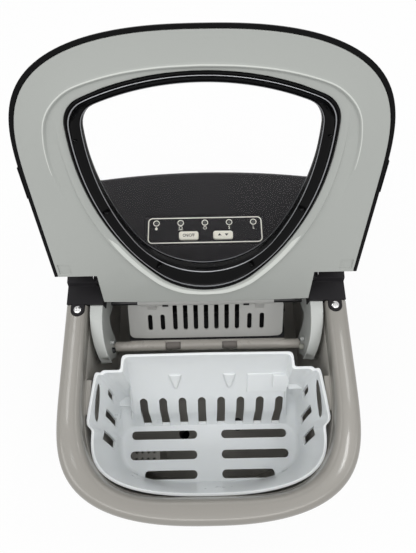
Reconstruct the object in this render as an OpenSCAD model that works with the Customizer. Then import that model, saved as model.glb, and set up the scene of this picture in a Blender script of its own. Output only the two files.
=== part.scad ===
// Countertop ice maker with a see-through lid that stands open, and a lift-out ice basket.
// X to the right, Y to the rear, Z up. The origin is on the surface it stands on,
// under the middle of the body.

/* [Body] */
// Width of the body across its sides
body_w = 241; // [237:1:246]
// Depth of the body from its front to its rear
body_d = 295; // [291:1:302]
// Height of the top frame above the surface
rim_z = 299.5; // [297:0.5:306]
// Length of the rounded nose at the front
nose_len = 111.5; // [106:0.5:116]
// Radius of the rear corners
rear_r = 15; // [12:1:20]
// Wall of the outer shell and the rear panel
shell_t = 2; // [1.6:0.1:2.4]
// Width of the band that the lid closes on
band_w = 18.5; // [18:0.1:20]
// Height of the top frame
frame_h = 13.5; // [12.5:0.5:14.5]
// Radius of the top frame's outer edge
frame_edge = 5.5; // [4:0.5:6]
// Height of the feet
foot_h = 8; // [7:1:10]
// Radius of the feet
foot_r = 12; // [10:1:14]
// Floor of the base pan
pan_t = 3; // [2.5:0.5:4]
// Height of the base pan's wall above its floor
pan_wall_h = 13; // [11:1:15]

/* [Rear cover] */
// Height of the rear cover above the top frame
cover_rise = 16.5; // [16:0.5:19]
// Wall of the rear cover
cover_t = 2.5; // [2:0.1:2.8]
// Width of a hinge block across the body
block_w = 32.2; // [31.5:0.1:32.7]
// Distance from the hinge axis forward to the front of the hinge blocks
block_reach = 20.6; // [20:0.2:21.4]
// Radius of the screw ears in front of the hinge blocks
ear_r = 5.6; // [5:0.2:6]
// Length of a button's cap
button_w = 17; // [15:0.5:18]
// Width of a button's cap
button_d = 8; // [7:0.25:8.5]
// Travel of a button
button_travel = 1.5; // [1:0.1:2]
// Radius of an indicator lens
led_r = 2.3; // [1.8:0.1:2.6]
// Distance between neighbouring indicator lenses
led_pitch = 21.1; // [20:0.1:22]

/* [Lid] */
// Angle that the lid stands open
lid_open = 116.3; // [112:0.1:118]
// Distance of the hinge axis behind the middle of the body
hinge_y = 42.9; // [41.5:0.1:44.5]
// Height of the hinge axis above the top frame
hinge_rise = 13.7; // [13.3:0.1:14.2]
// Depth of the lid's edge below the hinge axis
lid_drop = 12.5; // [12:0.1:12.8]
// Overhang of the lid over the body
lid_over = 1; // [0.4:0.1:1.4]
// Wall of the lid's outer cover
lid_t = 2.5; // [2:0.1:2.8]
// Height of the lid's crown above the hinge axis
lid_crown = 6.5; // [5.5:0.5:8]
// Thickness of the lid's inner liner
liner_t = 2; // [1.6:0.1:2.4]
// Length of the liner's tongue behind the hinge axis
tongue_len = 24.8; // [23:0.2:25.6]
// Thickness of the clear window
window_t = 2.5; // [2:0.1:3]
// Radius of the hinge pins
pin_r = 2.2; // [1.8:0.1:2.6]
// Running clearance of the pins, shafts and rods
run = 0.05; // [0.03:0.01:0.08]

/* [Ice works] */
// Distance of the tray's axis in front of the hinge axis
tray_fore = 44.8; // [44:0.2:46]
// Depth of the tray's axis below the top frame
tray_below = 61.5; // [60:0.5:63]
// Radius of the bar along the front of the tray
tray_bar_r = 4.7; // [4:0.1:5]
// Wall of the tray
tray_t = 2; // [1.5:0.1:2.4]
// Depth of the tray's trough
tray_depth = 32; // [30:1:34]
// Distance of the shovel's rod in front of the hinge axis
shovel_fore = 8.4; // [7.6:0.2:9]
// Depth of the shovel's rod below the top frame
shovel_below = 36.5; // [35.5:0.5:37.5]
// Clearance between the shovel's plate and a side arm
shovel_gap = 13.6; // [11:0.2:16]
// Length of the shovel's plate
shovel_len = 34; // [31:0.5:34.5]
// Slope of the shovel's plate
shovel_tilt = 41.5; // [40:0.5:43]
// Radius of the shovel's rod
rod_r = 2.5; // [2:0.1:2.8]
// Number of freezing fingers in the front row
finger_count = 5; // [3:1:5]
// Radius of a freezing finger
finger_r = 5.5; // [4.5:0.1:6]
// Length of a freezing finger
finger_len = 26; // [22:1:28]
// Thickness of the evaporator block
evap_t = 12; // [10:0.5:13]

/* [Tank] */
// Wall of the water tank
tank_t = 2.5; // [2:0.1:3]
// Height of the tank's front floor
tank_low_z = 95; // [90:1:100]
// Height of the tank's raised rear floor
tank_high_z = 155; // [153:1:158]
// Radius inside the drain spout
spout_r = 6; // [5:0.5:7]

/* [Basket] */
// Wall of the ice basket
basket_t = 2; // [1.6:0.1:2.4]
// Depth of the basket's rim below the top frame
basket_below = 14.5; // [14:0.5:16]
// Height of the basket
basket_h = 95; // [90:1:98]
// Clearance between the basket's nose and the tank's wall
basket_gap = 8.5; // [8:0.1:9.5]

/* [Cold works] */
// Radius of the compressor
comp_r = 48; // [44:1:49]
// Height of the compressor's shell
comp_h = 118; // [105:1:122]
// Height of the compressor's rubber mounts
grommet_h = 9; // [8:1:10]
// Width of the condenser and the fan shroud
cond_w = 98; // [94:1:100]
// Height of the condenser and the fan shroud
cond_h = 114; // [104:1:116]
// Depth of the condenser
cond_d = 20; // [18:1:21]
// Depth of the fan shroud
shroud_d = 19; // [18:1:20]
// Radius of the fan's blades
fan_r = 41; // [36:1:42]

/* [Hidden] */

$fn = 40;
eps = 0.01;
gap = 0.3;
side_power = 2.466;
front_power = 4.135;
cavity_side_power = 4;
cavity_front_power = 3.1;
nose_steps = 18;

rear_y = body_d / 2;
nose_y = -rear_y + nose_len;
pan_z = foot_h;
floor_z = pan_z + pan_t;
pan_top = floor_z + pan_wall_h;
frame_z = rim_z - frame_h;
lip_h = 2;
shell_z = pan_z + lip_h;

// Hinge and rear cover
hinge_z = rim_z + hinge_rise;
block_x = body_w / 2 - block_w;
block_y = hinge_y - block_reach;
cover_z = rim_z + cover_rise;
cover_in_z = cover_z - cover_t;
hood_y = hinge_y + 7.4;
bulkhead_y = hinge_y + 28.4;
bulkhead_t = 1.5;
cheek_r = pin_r + 4.3;
cheek_t = 4.7;
ear_x = body_w / 2 - band_w / 2 - 1.5;
ear_y = block_y - 4.6;
ear_t = 1.8;
screw_r = 1.6;
button_y = hinge_y + 34.6;
button_xs = [-14.1, 15.5];
button_proud = 1.4;
button_flange_z = cover_in_z - gap - 1.2;
led_y = hinge_y + 46.9;
panel_d = 27.5;
panel_w = 5 * led_pitch - 1;
panel_y = hinge_y + 40.2;
panel_t = 0.8;
board_w = 118;
board_d = 29;
board_t = 1.6;
board_y = bulkhead_y + bulkhead_t + 1 + board_d / 2;
board_z = cover_in_z - 11.5;
post_r = 3;
post_x = board_w / 2 - 5;
post_y = board_y + board_d / 2 - 5;

// Tank and ice works
tank_half = body_w / 2 - band_w;
tank_split_y = hinge_y - 57;
tank_rear_y = hinge_y + 47;
tank_top_z = frame_z;
arm_x = block_x + 0.3;
arm_w = 11.7;
tray_y = hinge_y - tray_fore;
tray_z = rim_z - tray_below;
tray_half = arm_x - 12.6;
tray_pin_r = 3;
tray_bar_half = arm_x - 0.6;
trough_front = tray_y + 30;
trough_rear = trough_front + 56;
trough_top = tray_z + 8;
trough_low = trough_top - tray_depth;
shovel_w = 2 * (arm_x - shovel_gap);
shovel_y = hinge_y - shovel_fore;
shovel_z = rim_z - shovel_below;
evap_y = hinge_y - 0.9;
evap_z = rim_z - 37.5;
evap_half = tray_half - 4;
evap_d = 41;
tube_r = 3.5;
tube_z = evap_z + evap_t + tube_r + 0.2;
tube_half = evap_half - 14;
tube_rows = [evap_y + 10, evap_y + 32];

// Basket
basket_z = rim_z - basket_below;
basket_floor_z = basket_z - basket_h;
basket_half = tank_half - basket_gap;
basket_front = -rear_y + 19;
basket_nose_y = basket_front + 48.5;
basket_back_y = hinge_y - 74;
lip_y = hinge_y - 61;
lip_half = basket_half - 21.8;
wing_z = basket_z - 3;
ledge_front = basket_nose_y + 12.9;
ledge_rear = basket_back_y - 8;

// Cold works
comp_x = -body_w / 2 + 64.5;
suction_y = rear_y - 14;
discharge_y = tank_rear_y + tank_t + 13.1;
comp_y = hinge_y - 2.9;
plate_t = 3;
comp_z = floor_z + grommet_h + plate_t;
cond_x = body_w / 2 - 57.5;
cond_y = rear_y - 7.5 - cond_d;
shroud_y = cond_y - 0.5 - shroud_d;
fan_z = pan_top + cond_h / 2;
spider_t = 2.5;
drier_x = cond_x - cond_w / 2 - 16;
drier_h = 70;
drier_y = rear_y - 7.5 - cond_d / 2;
pump_x = tank_half - 68;
pump_y = -rear_y + 77.5;
pump_r = 22;
pump_h = 36;
pump_z = tank_low_z - 14 - pump_h;
hose_r = 4.5;
hose_x = tank_half - 10;
hose_y = hinge_y + 17;
pipe_r = 3;
valve_x = comp_x - 20;
valve_y = (tank_rear_y + tank_t + rear_y - shell_t) / 2;
valve_z = tank_high_z + 26;
valve_w = 28;
valve_h = 18;
spout_x = -tank_half + 72;
spout_y = -rear_y + 67.5;
plug_head_h = 3.6;
filter_x = -tank_half + 36;
filter_y = -rear_y + 42.5;
filter_top_z = basket_floor_z - 20;

// Lid, in its own frame: origin on the hinge axis, Y to the rear, Z up while closed
window_z = -6.3;
ring_flange = 2.6;
ring_proud = 0.6;
ring_z = -lid_drop - ring_proud;
knuckle_r = pin_r + 2.8;
knuckle_in = block_x - 14.3;
knuckle_out = block_x - 0.8;
tongue_half = block_x - 0.8;
lid_corner_s = 11;
lid_len = hinge_y + rear_y;
widest_s = hinge_y - nose_y;
screw_in = 3.5;

// Plan of the body, set inwards by inset
function curve(half, len, p, q, y) = [for (i = [0:nose_steps]) let (t = 90 * i / nose_steps)
    [half * pow(cos(t), 2 / p), y - len * pow(sin(t), 2 / q)]];
function both_sides(right) = concat(right,
    [for (i = [len(right) - 2:-1:0]) [-right[i][0], right[i][1]]]);
function rear_corners(half, y, r) = r <= 0 ? [[-half, y], [half, y]] : concat(
    [for (a = [180:-15:90]) [-half + r + r * cos(a), y - r + r * sin(a)]],
    [for (a = [90:-15:0]) [half - r + r * cos(a), y - r + r * sin(a)]]);
function plan(inset, y, r) = concat(
    both_sides(curve(body_w / 2 - inset, nose_len - inset, side_power, front_power, nose_y)),
    rear_corners(body_w / 2 - inset, y, r));
// Plan of the tank's cavity, set inwards by inset
function cavity_plan(inset, y) = concat(
    both_sides(curve(tank_half - inset, nose_len - band_w - inset,
        cavity_side_power, cavity_front_power, nose_y)),
    rear_corners(tank_half - inset, y, 0));
function body_plan(inset) = plan(inset, rear_y - inset, max(rear_r - inset, 2));
function hood_plan(inset, front) = concat([[body_w / 2 - inset, front], [inset - body_w / 2, front]],
    rear_corners(body_w / 2 - inset, rear_y - inset, max(rear_r - inset, 2)));

// Shield outline of the lid's window: four tangent arcs on each side, grown outwards by grow
function arc(c, r, a, b, n) = [for (i = [0:n]) let (t = a + (b - a) * i / n)
    [c[0] + r * cos(t), c[1] + r * sin(t)]];
function bearing(a, b) = atan2(b[1] - a[1], b[0] - a[0]);
function meet(p, rp, q, rq) = let (d = norm(q - p), a = (rp * rp - rq * rq + d * d) / (2 * d),
    h = sqrt(rp * rp - a * a), u = (q - p) / d) [p[0] + a * u[0] - h * u[1], p[1] + a * u[1] + h * u[0]];
function shield_side(low_s, low_r, side_r, corner, corner_r, top_s, grow) =
    let (b = [0, low_s + low_r],
        s = meet(b, side_r - low_r, corner, side_r - corner_r),
        rise = top_s - corner[1],
        top_r = (corner[0] * corner[0] + rise * rise - corner_r * corner_r) / (2 * (rise - corner_r)),
        t = [0, top_s - top_r])
    concat(arc(b, low_r + grow, -90, bearing(s, b), 10),
        arc(s, side_r + grow, bearing(s, b), bearing(s, corner), 8),
        arc(corner, corner_r + grow, bearing(s, corner), bearing(t, corner), 8),
        arc(t, top_r + grow, bearing(t, corner), 90, 8));
ring_low_s = -6.8;
ring_top_s = lid_len - 24.9;
ring_corner = [body_w / 2 - 48.8, ring_top_s - 26.2];
clear_low_s = 13;
clear_top_s = ring_top_s - 8.5;
clear_corner = [ring_corner[0] - 5.8, clear_top_s - 21.5];
function mirrored(p) = [for (q = p) [q[0], -q[1]]];
function ring_side(grow) = shield_side(ring_low_s, 52, 170, ring_corner, 13, ring_top_s, grow);
function ring_outline(grow) = mirrored(both_sides(ring_side(grow)));
function clear_outline(grow) = mirrored(both_sides(
    shield_side(clear_low_s, 60, 190, clear_corner, 10, clear_top_s, grow)));
// The ring's screws, on its outline set inwards, as steps along that outline
screw_steps = [11.7, 15.1, 18.3, 33.1];
screw_spots = [for (k = screw_steps) let (i = floor(k), line = ring_side(-screw_in))
    line[i] + (k - i) * (line[i + 1] - line[i])];

module box(x0, x1, y0, y1, z0, z1) {
    translate([x0, y0, z0]) cube([x1 - x0, y1 - y0, z1 - z0]);
}
module slab(points, z0, z1) {
    translate([0, 0, z0]) linear_extrude(z1 - z0) polygon(points);
}
module ring(outer, inner, z0, z1) {
    translate([0, 0, z0]) linear_extrude(z1 - z0) difference() {
        polygon(outer);
        polygon(inner);
    }
}
// A profile in Y and Z, drawn out along X
module along_x(x0, x1, points) {
    translate([x0, 0, 0]) rotate([90, 0, 90]) linear_extrude(x1 - x0) polygon(points);
}
module rod_x(x0, x1, y, z, r) {
    translate([x0, y, z]) rotate([0, 90, 0]) cylinder(h = x1 - x0, r = r);
}
module rod_y(x, y0, y1, z, r) {
    translate([x, y0, z]) rotate([-90, 0, 0]) cylinder(h = y1 - y0, r = r);
}
module rod_z(x, y, z0, z1, r) {
    translate([x, y, z0]) cylinder(h = z1 - z0, r = r);
}
module pair_x() {
    children();
    mirror([1, 0, 0]) children();
}
// A pipe through points, with a ball at each turn
module pipe(points, r) {
    for (i = [0:len(points) - 2]) {
        d = points[i + 1] - points[i];
        translate(points[i]) rotate([0, acos(d[2] / norm(d)), atan2(d[1], d[0])])
            cylinder(h = norm(d), r = r, $fn = 24);
    }
    for (i = [1:len(points) - 2])
        translate(points[i]) sphere(r + 0.15, $fn = 24);
}
// A slot with round ends, cut straight down
module slot_z(x0, x1, y, w, z0, z1) {
    box(x0 + w / 2, x1 - w / 2, y - w / 2, y + w / 2, z0, z1);
    rod_z(x0 + w / 2, y, z0, z1, w / 2);
    rod_z(x1 - w / 2, y, z0, z1, w / 2);
}
module rounded_plate(x, y, w, d, r, z0, z1) {
    translate([x, y, z0]) linear_extrude(z1 - z0) hull() {
        for (sx = [-1, 1], sy = [-1, 1])
            translate([sx * (w / 2 - r), sy * (d / 2 - r)]) circle(r);
    }
}

// ---- Casing ----
module shell_vents() {
    for (i = [0:8])
        box(body_w / 2 - shell_t - 6, body_w / 2 + 1, hinge_y + 12 + i * 8, hinge_y + 16 + i * 8,
            pan_top + 26, pan_top + 96);
}
module outer_shell() color([0.62, 0.61, 0.59]) difference() {
    ring(body_plan(0), body_plan(shell_t), shell_z, frame_z);
    box(-body_w, body_w, rear_y - rear_r - 4, rear_y + 1, shell_z - 1, frame_z + 1);
    pair_x() shell_vents();
}
module cavity_mouth() {
    hull() {
        slab(cavity_plan(0, rear_y), frame_z - 1, rim_z - frame_edge);
        slab(cavity_plan(-1.8, rear_y), rim_z - frame_edge, rim_z - 1.6);
        slab(cavity_plan(-frame_edge, rear_y), rim_z - 0.6, rim_z + 1);
    }
}
module top_frame() color([0.64, 0.62, 0.58]) difference() {
    hull() {
        slab(body_plan(0), frame_z, rim_z - frame_edge);
        slab(body_plan(frame_edge * 0.3), frame_z, rim_z - frame_edge * 0.3);
        slab(body_plan(frame_edge), frame_z, rim_z);
    }
    cavity_mouth();
    box(-body_w, body_w, block_y - gap, rear_y + 1, frame_z - 1, rim_z + 1);
    pair_x() {
        rod_z(ear_x, ear_y, rim_z - ear_t - 0.1, rim_z + 1, ear_r + gap);
        box(ear_x - ear_r - gap, ear_x + ear_r + gap, ear_y, block_y, rim_z - ear_t - 0.1, rim_z + 1);
        rod_z(ear_x, ear_y, frame_z + 2, rim_z, screw_r + 0.1);
    }
}
foot_spots = [[-body_w / 2 + 34, -rear_y + 40], [body_w / 2 - 34, -rear_y + 40],
    [-body_w / 2 + 26, rear_y - 26], [body_w / 2 - 26, rear_y - 26]];
module foot(i) color([0.1, 0.1, 0.1])
    translate([foot_spots[i][0], foot_spots[i][1], 0]) difference() {
        union() {
            cylinder(h = foot_h, r = foot_r);
            translate([0, 0, foot_h]) cylinder(h = pan_t + 1, r = 3);
        }
        translate([0, 0, -1]) cylinder(h = foot_h - 2, r = 4);
    }
module foot_front_left() { foot(0); }
module foot_front_right() { foot(1); }
module foot_rear_left() { foot(2); }
module foot_rear_right() { foot(3); }
comp_feet = [for (sx = [-1, 1], sy = [-1, 1]) [comp_x + sx * (comp_r - 3), comp_y + sy * (comp_r - 8)]];
lug_xs = [-body_w / 2 + 60, body_w / 2 - 60];
lug_low_z = pan_top - 6;
lug_high_z = frame_z - 8;
module base_pan() color([0.2, 0.2, 0.21]) difference() {
    union() {
        slab(body_plan(0.5), pan_z, shell_z);
        slab(body_plan(shell_t + gap), shell_z - eps, floor_z);
        ring(body_plan(shell_t + gap), body_plan(shell_t + gap + 2.4), floor_z - eps, pan_top);
        for (x = lug_xs)
            box(x - 6, x + 6, rear_y - shell_t - 7, rear_y - shell_t, floor_z - eps, pan_top);
        // raised seat for the fan shroud and the condenser
        box(cond_x - cond_w / 2, cond_x + cond_w / 2, shroud_y, cond_y + cond_d, floor_z - eps, pan_top);
    }
    for (p = foot_spots)
        rod_z(p[0], p[1], pan_z - 1, floor_z + 2, 3.1);
    for (p = comp_feet)
        rod_z(p[0], p[1], pan_z - 1, floor_z + 1, 2.1);
    for (x = lug_xs)
        rod_y(x, rear_y - shell_t - 9, rear_y, lug_low_z, screw_r + 0.1);
    rod_z(spout_x, spout_y, pan_z - 1, floor_z + 1, spout_r + 3 + gap);
    box(cond_x - cond_w / 2 + 6, cond_x + cond_w / 2 - 6, shroud_y + 5, cond_y + cond_d - 5,
        floor_z, pan_top + 1);
    // air inlet slots under the condenser
    for (i = [0:6])
        slot_z(cond_x - 38, cond_x + 14, shroud_y + 9 + i * 4, 2, pan_z - 1, floor_z + 1);
}
gland_x = -body_w / 2 + 34;
gland_z = pan_top + 26;
module rear_panel() color([0.16, 0.16, 0.17]) difference() {
    intersection() {
        ring(body_plan(0), body_plan(shell_t), shell_z, frame_z);
        box(-body_w, body_w, rear_y - rear_r - 4 + gap, rear_y + 1, shell_z - 1, frame_z + 1);
    }
    for (row = [0:9])
        for (x = [cond_x - 34, cond_x, cond_x + 34] - [15, 15, 15])
            rotate([90, 0, 0]) slot_z(x, x + 30, pan_top + 14 + row * 9.5, 4, -rear_y - 1, -rear_y + 6);
    rod_y(gland_x, rear_y - 6, rear_y + 1, gland_z, 7);
    for (x = lug_xs, z = [lug_low_z, lug_high_z]) {
        rod_y(x, rear_y - 6, rear_y + 1, z, screw_r + 0.1);
        rod_y(x, rear_y - 1.2, rear_y + 1, z, screw_r + 1.7);
    }
}
module panel_screws() color([0.75, 0.75, 0.76]) for (x = lug_xs, z = [lug_low_z, lug_high_z]) {
    rod_y(x, rear_y - shell_t - 5, rear_y - 1, z, screw_r);
    rod_y(x, rear_y - 1.2, rear_y - 0.2, z, screw_r + 1.5);
}
module cord_gland() color([0.08, 0.08, 0.08]) difference() {
    union() {
        rod_y(gland_x, rear_y - shell_t - 3, rear_y - shell_t, gland_z, 9.5);
        rod_y(gland_x, rear_y - shell_t - eps, rear_y, gland_z, 6.9);
        rod_y(gland_x, rear_y - shell_t - 10, rear_y - shell_t - 3 + eps, gland_z, 6);
    }
    rod_y(gland_x, rear_y - shell_t - 11, rear_y + 1, gland_z, 3.3);
}

// ---- Rear cover, panel and buttons ----
module button_hole(x) {
    rounded_plate(x, button_y, button_w + 2 * gap, button_d + 2 * gap, 2.4, cover_in_z - 1, cover_z + 1);
}
module hood() difference() {
    hull() {
        slab(hood_plan(0, hood_y), frame_z, cover_z - 10);
        slab(hood_plan(3.5, hood_y), cover_z - 10, cover_z - 4);
        slab(hood_plan(6, hood_y), cover_z - 4, cover_z - 1.6);
        slab(hood_plan(9, hood_y), cover_z - 2, cover_z);
    }
    hull() {
        slab(hood_plan(cover_t, hood_y - 1), frame_z - 1, cover_z - 11);
        slab(hood_plan(cover_t + 9, hood_y - 1), cover_z - 11, cover_in_z);
    }
}
module hinge_block() {
    box(block_x, body_w / 2 - 1, block_y, hood_y + cover_t, frame_z, rim_z + 0.3);
    along_x(block_x, body_w / 2 - 1, [[hinge_y - 4.4, rim_z], [hood_y + cover_t, rim_z],
        [hood_y + cover_t, rim_z + 6], [hinge_y - 2.4, rim_z + 4.5]]);
    // front wall of the hood beside the hinge
    box(block_x, body_w / 2 - cover_t, hood_y, hood_y + cover_t, rim_z, cover_in_z - 6);
    box(block_x, body_w / 2 - cover_t - 8, hood_y, hood_y + cover_t, rim_z, cover_in_z + 0.1);
    // cheek that carries the hinge pin
    rod_x(block_x, block_x + cheek_t, hinge_y, hinge_z, cheek_r);
    box(block_x, block_x + cheek_t, hinge_y - cheek_r + 1, hinge_y + cheek_r - 1, rim_z, hinge_z);
    // return wall between the hinge and the electronics
    box(block_x, block_x + 2, hood_y, bulkhead_y + bulkhead_t, frame_z, cover_in_z + 0.1);
    // screw ear
    rod_z(ear_x, ear_y, rim_z - ear_t, rim_z, ear_r);
    box(ear_x - ear_r, ear_x + ear_r, ear_y, block_y + 0.5, rim_z - ear_t, rim_z);
}
module rear_top_cover() color([0.16, 0.16, 0.165]) difference() {
    union() {
        hood();
        pair_x() hinge_block();
        box(-block_x - 1, block_x + 1, bulkhead_y, bulkhead_y + bulkhead_t, frame_z, cover_in_z + 0.1);
        for (sx = [-1, 1])
            rod_z(sx * post_x, post_y, board_z + board_t, cover_in_z + 0.1, post_r);
        for (x = lug_xs)
            box(x - 6, x + 6, rear_y - shell_t - 7, rear_y - shell_t, lug_high_z - 6, frame_z + 8);
    }
    pair_x() {
        rod_x(block_x - 1, block_x + cheek_t + 1, hinge_y, hinge_z, pin_r + 0.02);
        rod_z(ear_x, ear_y, rim_z - 4, rim_z + 1, screw_r + 0.1);
    }
    for (x = lug_xs)
        rod_y(x, rear_y - shell_t - 9, rear_y, lug_high_z, screw_r + 0.1);
    for (x = button_xs)
        button_hole(x);
    for (i = [-2:2])
        rod_z(i * led_pitch, led_y, cover_in_z - 1, cover_z + 1, led_r + 0.2);
    rounded_plate(0, panel_y, panel_w + 0.4, panel_d + 0.4, 3, cover_z - panel_t, cover_z + 1);
}
module phillips(x, y, z, head_r) difference() {
    translate([x, y, z]) rotate_extrude()
        polygon([[0, 0], [head_r, 0], [head_r, 0.5], [head_r * 0.6, 1], [0, 1.15]]);
    box(x - 2, x + 2, y - 0.35, y + 0.35, z + 0.45, z + 2);
    box(x - 0.35, x + 0.35, y - 2, y + 2, z + 0.45, z + 2);
}
module ear_screws() color([0.8, 0.8, 0.8]) pair_x() {
    phillips(ear_x, ear_y, rim_z, 3.1);
    rod_z(ear_x, ear_y, frame_z + 2.5, rim_z + eps, screw_r);
}
module control_panel() color([0.13, 0.13, 0.135]) difference() {
    rounded_plate(0, panel_y, panel_w, panel_d, 3, cover_z - panel_t, cover_z + 0.1);
    for (x = button_xs)
        rounded_plate(x, button_y, button_w + 2 * gap, button_d + 2 * gap, 2.4, cover_z - 2, cover_z + 1);
    for (i = [-2:2])
        rod_z(i * led_pitch, led_y, cover_z - 2, cover_z + 1, led_r + 0.1);
}
module indicator_lenses() color([0.75, 0.8, 0.78]) for (i = [-2:2]) {
    rod_z(i * led_pitch, led_y, board_z + board_t, cover_z + 0.5, led_r);
}
module control_board() color([0.1, 0.35, 0.18]) difference() {
    union() {
        box(-board_w / 2, board_w / 2, board_y - board_d / 2, board_y + board_d / 2,
            board_z, board_z + board_t);
        // key switches under the buttons
        for (x = button_xs)
            box(x - 3, x + 3, button_y - 2.6, button_y + 3, board_z, button_flange_z - button_travel - gap);
        // connectors
        for (sx = [-1, 1])
            box(sx * 44 - 7, sx * 44 + 7, board_y - 6, board_y + 1, board_z - 8, board_z + eps);
    }
    for (sx = [-1, 1])
        rod_z(sx * post_x, post_y, board_z - 1, board_z + 3, 1.2);
}
module button(x) color([0.86, 0.85, 0.8]) {
    rounded_plate(x, button_y, button_w, button_d, 2.2, button_flange_z, cover_z + button_proud);
    rounded_plate(x, button_y, button_w + 3, button_d - 0.6, 1, button_flange_z, button_flange_z + 1.2);
}
module power_button() { button(button_xs[0]); }
module select_button() { button(button_xs[1]); }

// ---- Tank ----
function tank_front_plan(inset) = cavity_plan(inset, tank_split_y - inset);
module basket_ledge() {
    box(tank_half - 4, tank_half + 0.5, ledge_front, ledge_rear, wing_z - 5.3, wing_z - gap);
}
module water_tank() color([0.5, 0.49, 0.47]) difference() {
    union() {
        difference() {
            union() {
                slab(tank_front_plan(-tank_t), tank_low_z, tank_top_z);
                box(-tank_half - tank_t, tank_half + tank_t, tank_split_y - 1, tank_rear_y + tank_t,
                    tank_high_z, tank_top_z - 3);
                ring(cavity_plan(-6, block_y), cavity_plan(0, rear_y), tank_top_z - 2, tank_top_z);
            }
            slab(tank_front_plan(0), tank_low_z + tank_t, tank_top_z + 1);
            box(-tank_half, tank_half, tank_split_y - 2, tank_rear_y, tank_high_z + tank_t, tank_top_z + 1);
        }
        pair_x() basket_ledge();
        rod_z(spout_x, spout_y, pan_z, tank_low_z + 1, spout_r + 3);
    }
    rod_z(spout_x, spout_y, pan_z - 1, tank_low_z + tank_t + 1, spout_r);
    rod_z(pump_x, pump_y, tank_low_z - 1, tank_low_z + tank_t + 1, 7.2);
    rod_x(tank_half - 1, tank_half + tank_t + 1, tray_y, tray_z, 4);
    for (x = [-tube_half, tube_half])
        rod_y(x, tank_rear_y - 1, tank_rear_y + tank_t + 1, tube_z, tube_r + 0.3);
    rod_y(hose_x - 14, tank_rear_y - 1, tank_rear_y + tank_t + 1, evap_z + 4, hose_r + 0.3);
}
module tank_insulation() color([0.93, 0.93, 0.9]) difference() {
    ring(plan(shell_t + gap + 2.4, block_y, 0), cavity_plan(-tank_t - gap, block_y + 1),
        pan_top, tank_top_z - 2);
    rod_x(tank_half, body_w / 2, tray_y, tray_z, 21);
}
module water_filter() color([0.45, 0.45, 0.44]) difference() {
    intersection() {
        rounded_plate(filter_x, filter_y, 30, 24, 4, tank_low_z + tank_t, filter_top_z);
        slab(cavity_plan(0.6, rear_y), tank_low_z, filter_top_z + 1);
    }
    for (i = [-1.5:1:1.5], j = [-1:1])
        rod_z(filter_x + i * 6, filter_y + j * 7, filter_top_z - 10, filter_top_z + 1, 1.4);
}
module drain_plug() color([0.12, 0.12, 0.12]) {
    rod_z(spout_x, spout_y, pan_z - gap - eps, pan_z + 14, spout_r - run);
    rod_z(spout_x, spout_y, pan_z - gap - plug_head_h, pan_z - gap, spout_r + 4.5);
}

// ---- Ice works ----
module side_arm() difference() {
    union() {
        along_x(arm_x, arm_x + arm_w, [[block_y - gap, rim_z - 3.5], [block_y - 14, rim_z - 5],
            [block_y - 30, rim_z - 9.5], [block_y - 41, rim_z - 16.5], [block_y - 45, rim_z - 24.5],
            [block_y - 42, rim_z - 37], [tray_y - 10, tray_z + 2], [tray_y - 8, tray_z - 10],
            [tray_y + 10, tray_z - 12], [hinge_y + 1, shovel_z - 11], [hinge_y + 1, frame_z - 1],
            [block_y - gap, frame_z - 1]]);
        for (p = [[tray_y + 8, tray_z - 2], [hinge_y - 16, shovel_z + 14]])
            rod_x(arm_x, tank_half, p[0], p[1], 5);
    }
    rod_x(arm_x - 1, tank_half + 1, shovel_y, shovel_z, rod_r + 0.02);
    rod_x(arm_x - 1, tank_half + 1, tray_y, tray_z, tray_pin_r + run);
}
module side_arm_right() color([0.76, 0.77, 0.76]) side_arm();
module side_arm_left() color([0.76, 0.77, 0.76]) mirror([1, 0, 0]) side_arm();
module ice_sensors() color([0.06, 0.06, 0.07]) pair_x()
    rod_x(arm_x - 4, arm_x, tray_y - 6, tray_z + 14, 3);
module shovel_rod() color([0.8, 0.8, 0.82])
    rod_x(-arm_x - arm_w + 1, arm_x + arm_w - 1, shovel_y, shovel_z, rod_r);
hook_x = shovel_w / 2 - 23;
module ice_shovel() color([0.55, 0.55, 0.53]) difference() {
    translate([0, shovel_y, shovel_z]) rotate([shovel_tilt, 0, 0]) difference() {
        union() {
            // plate, hanging forward and down from the rod
            translate([0, -3 - shovel_len / 2, -3.2]) rounded_plate(0, 0, shovel_w, shovel_len, 5, 0, 2);
            // stiffening rib along the lower edge
            box(-shovel_w / 2 + 8, shovel_w / 2 - 8, -shovel_len - 1, -shovel_len + 0.6, -4.6, -3.2 + eps);
            for (x = [-hook_x, hook_x]) {
                rod_x(x - 4, x + 4, 0, 0, rod_r + 1.8);
                box(x - 4, x + 4, -8, 0, -3.2, -rod_r + 0.6);
            }
        }
        for (i = [-3:3])
            translate([i * 10.1, -3, -5]) shovel_slot(2, 25);
        for (sx = [-1, 1], x = [hook_x - 10, hook_x + 2.5])
            translate([sx * x, -3, -5]) shovel_slot(12, 25);
    }
    rod_x(-shovel_w, shovel_w, shovel_y, shovel_z, rod_r + run);
}
module shovel_slot(from, to) {
    box(-2, 2, -to + 2, -from - 2, 0, 6);
    rod_z(0, -to + 2, 0, 6, 2);
    rod_z(0, -from - 2, 0, 6, 2);
}
bar_spans = [[-tray_bar_half, -40], [-25.5, 14], [28.5, tray_bar_half]];
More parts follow.
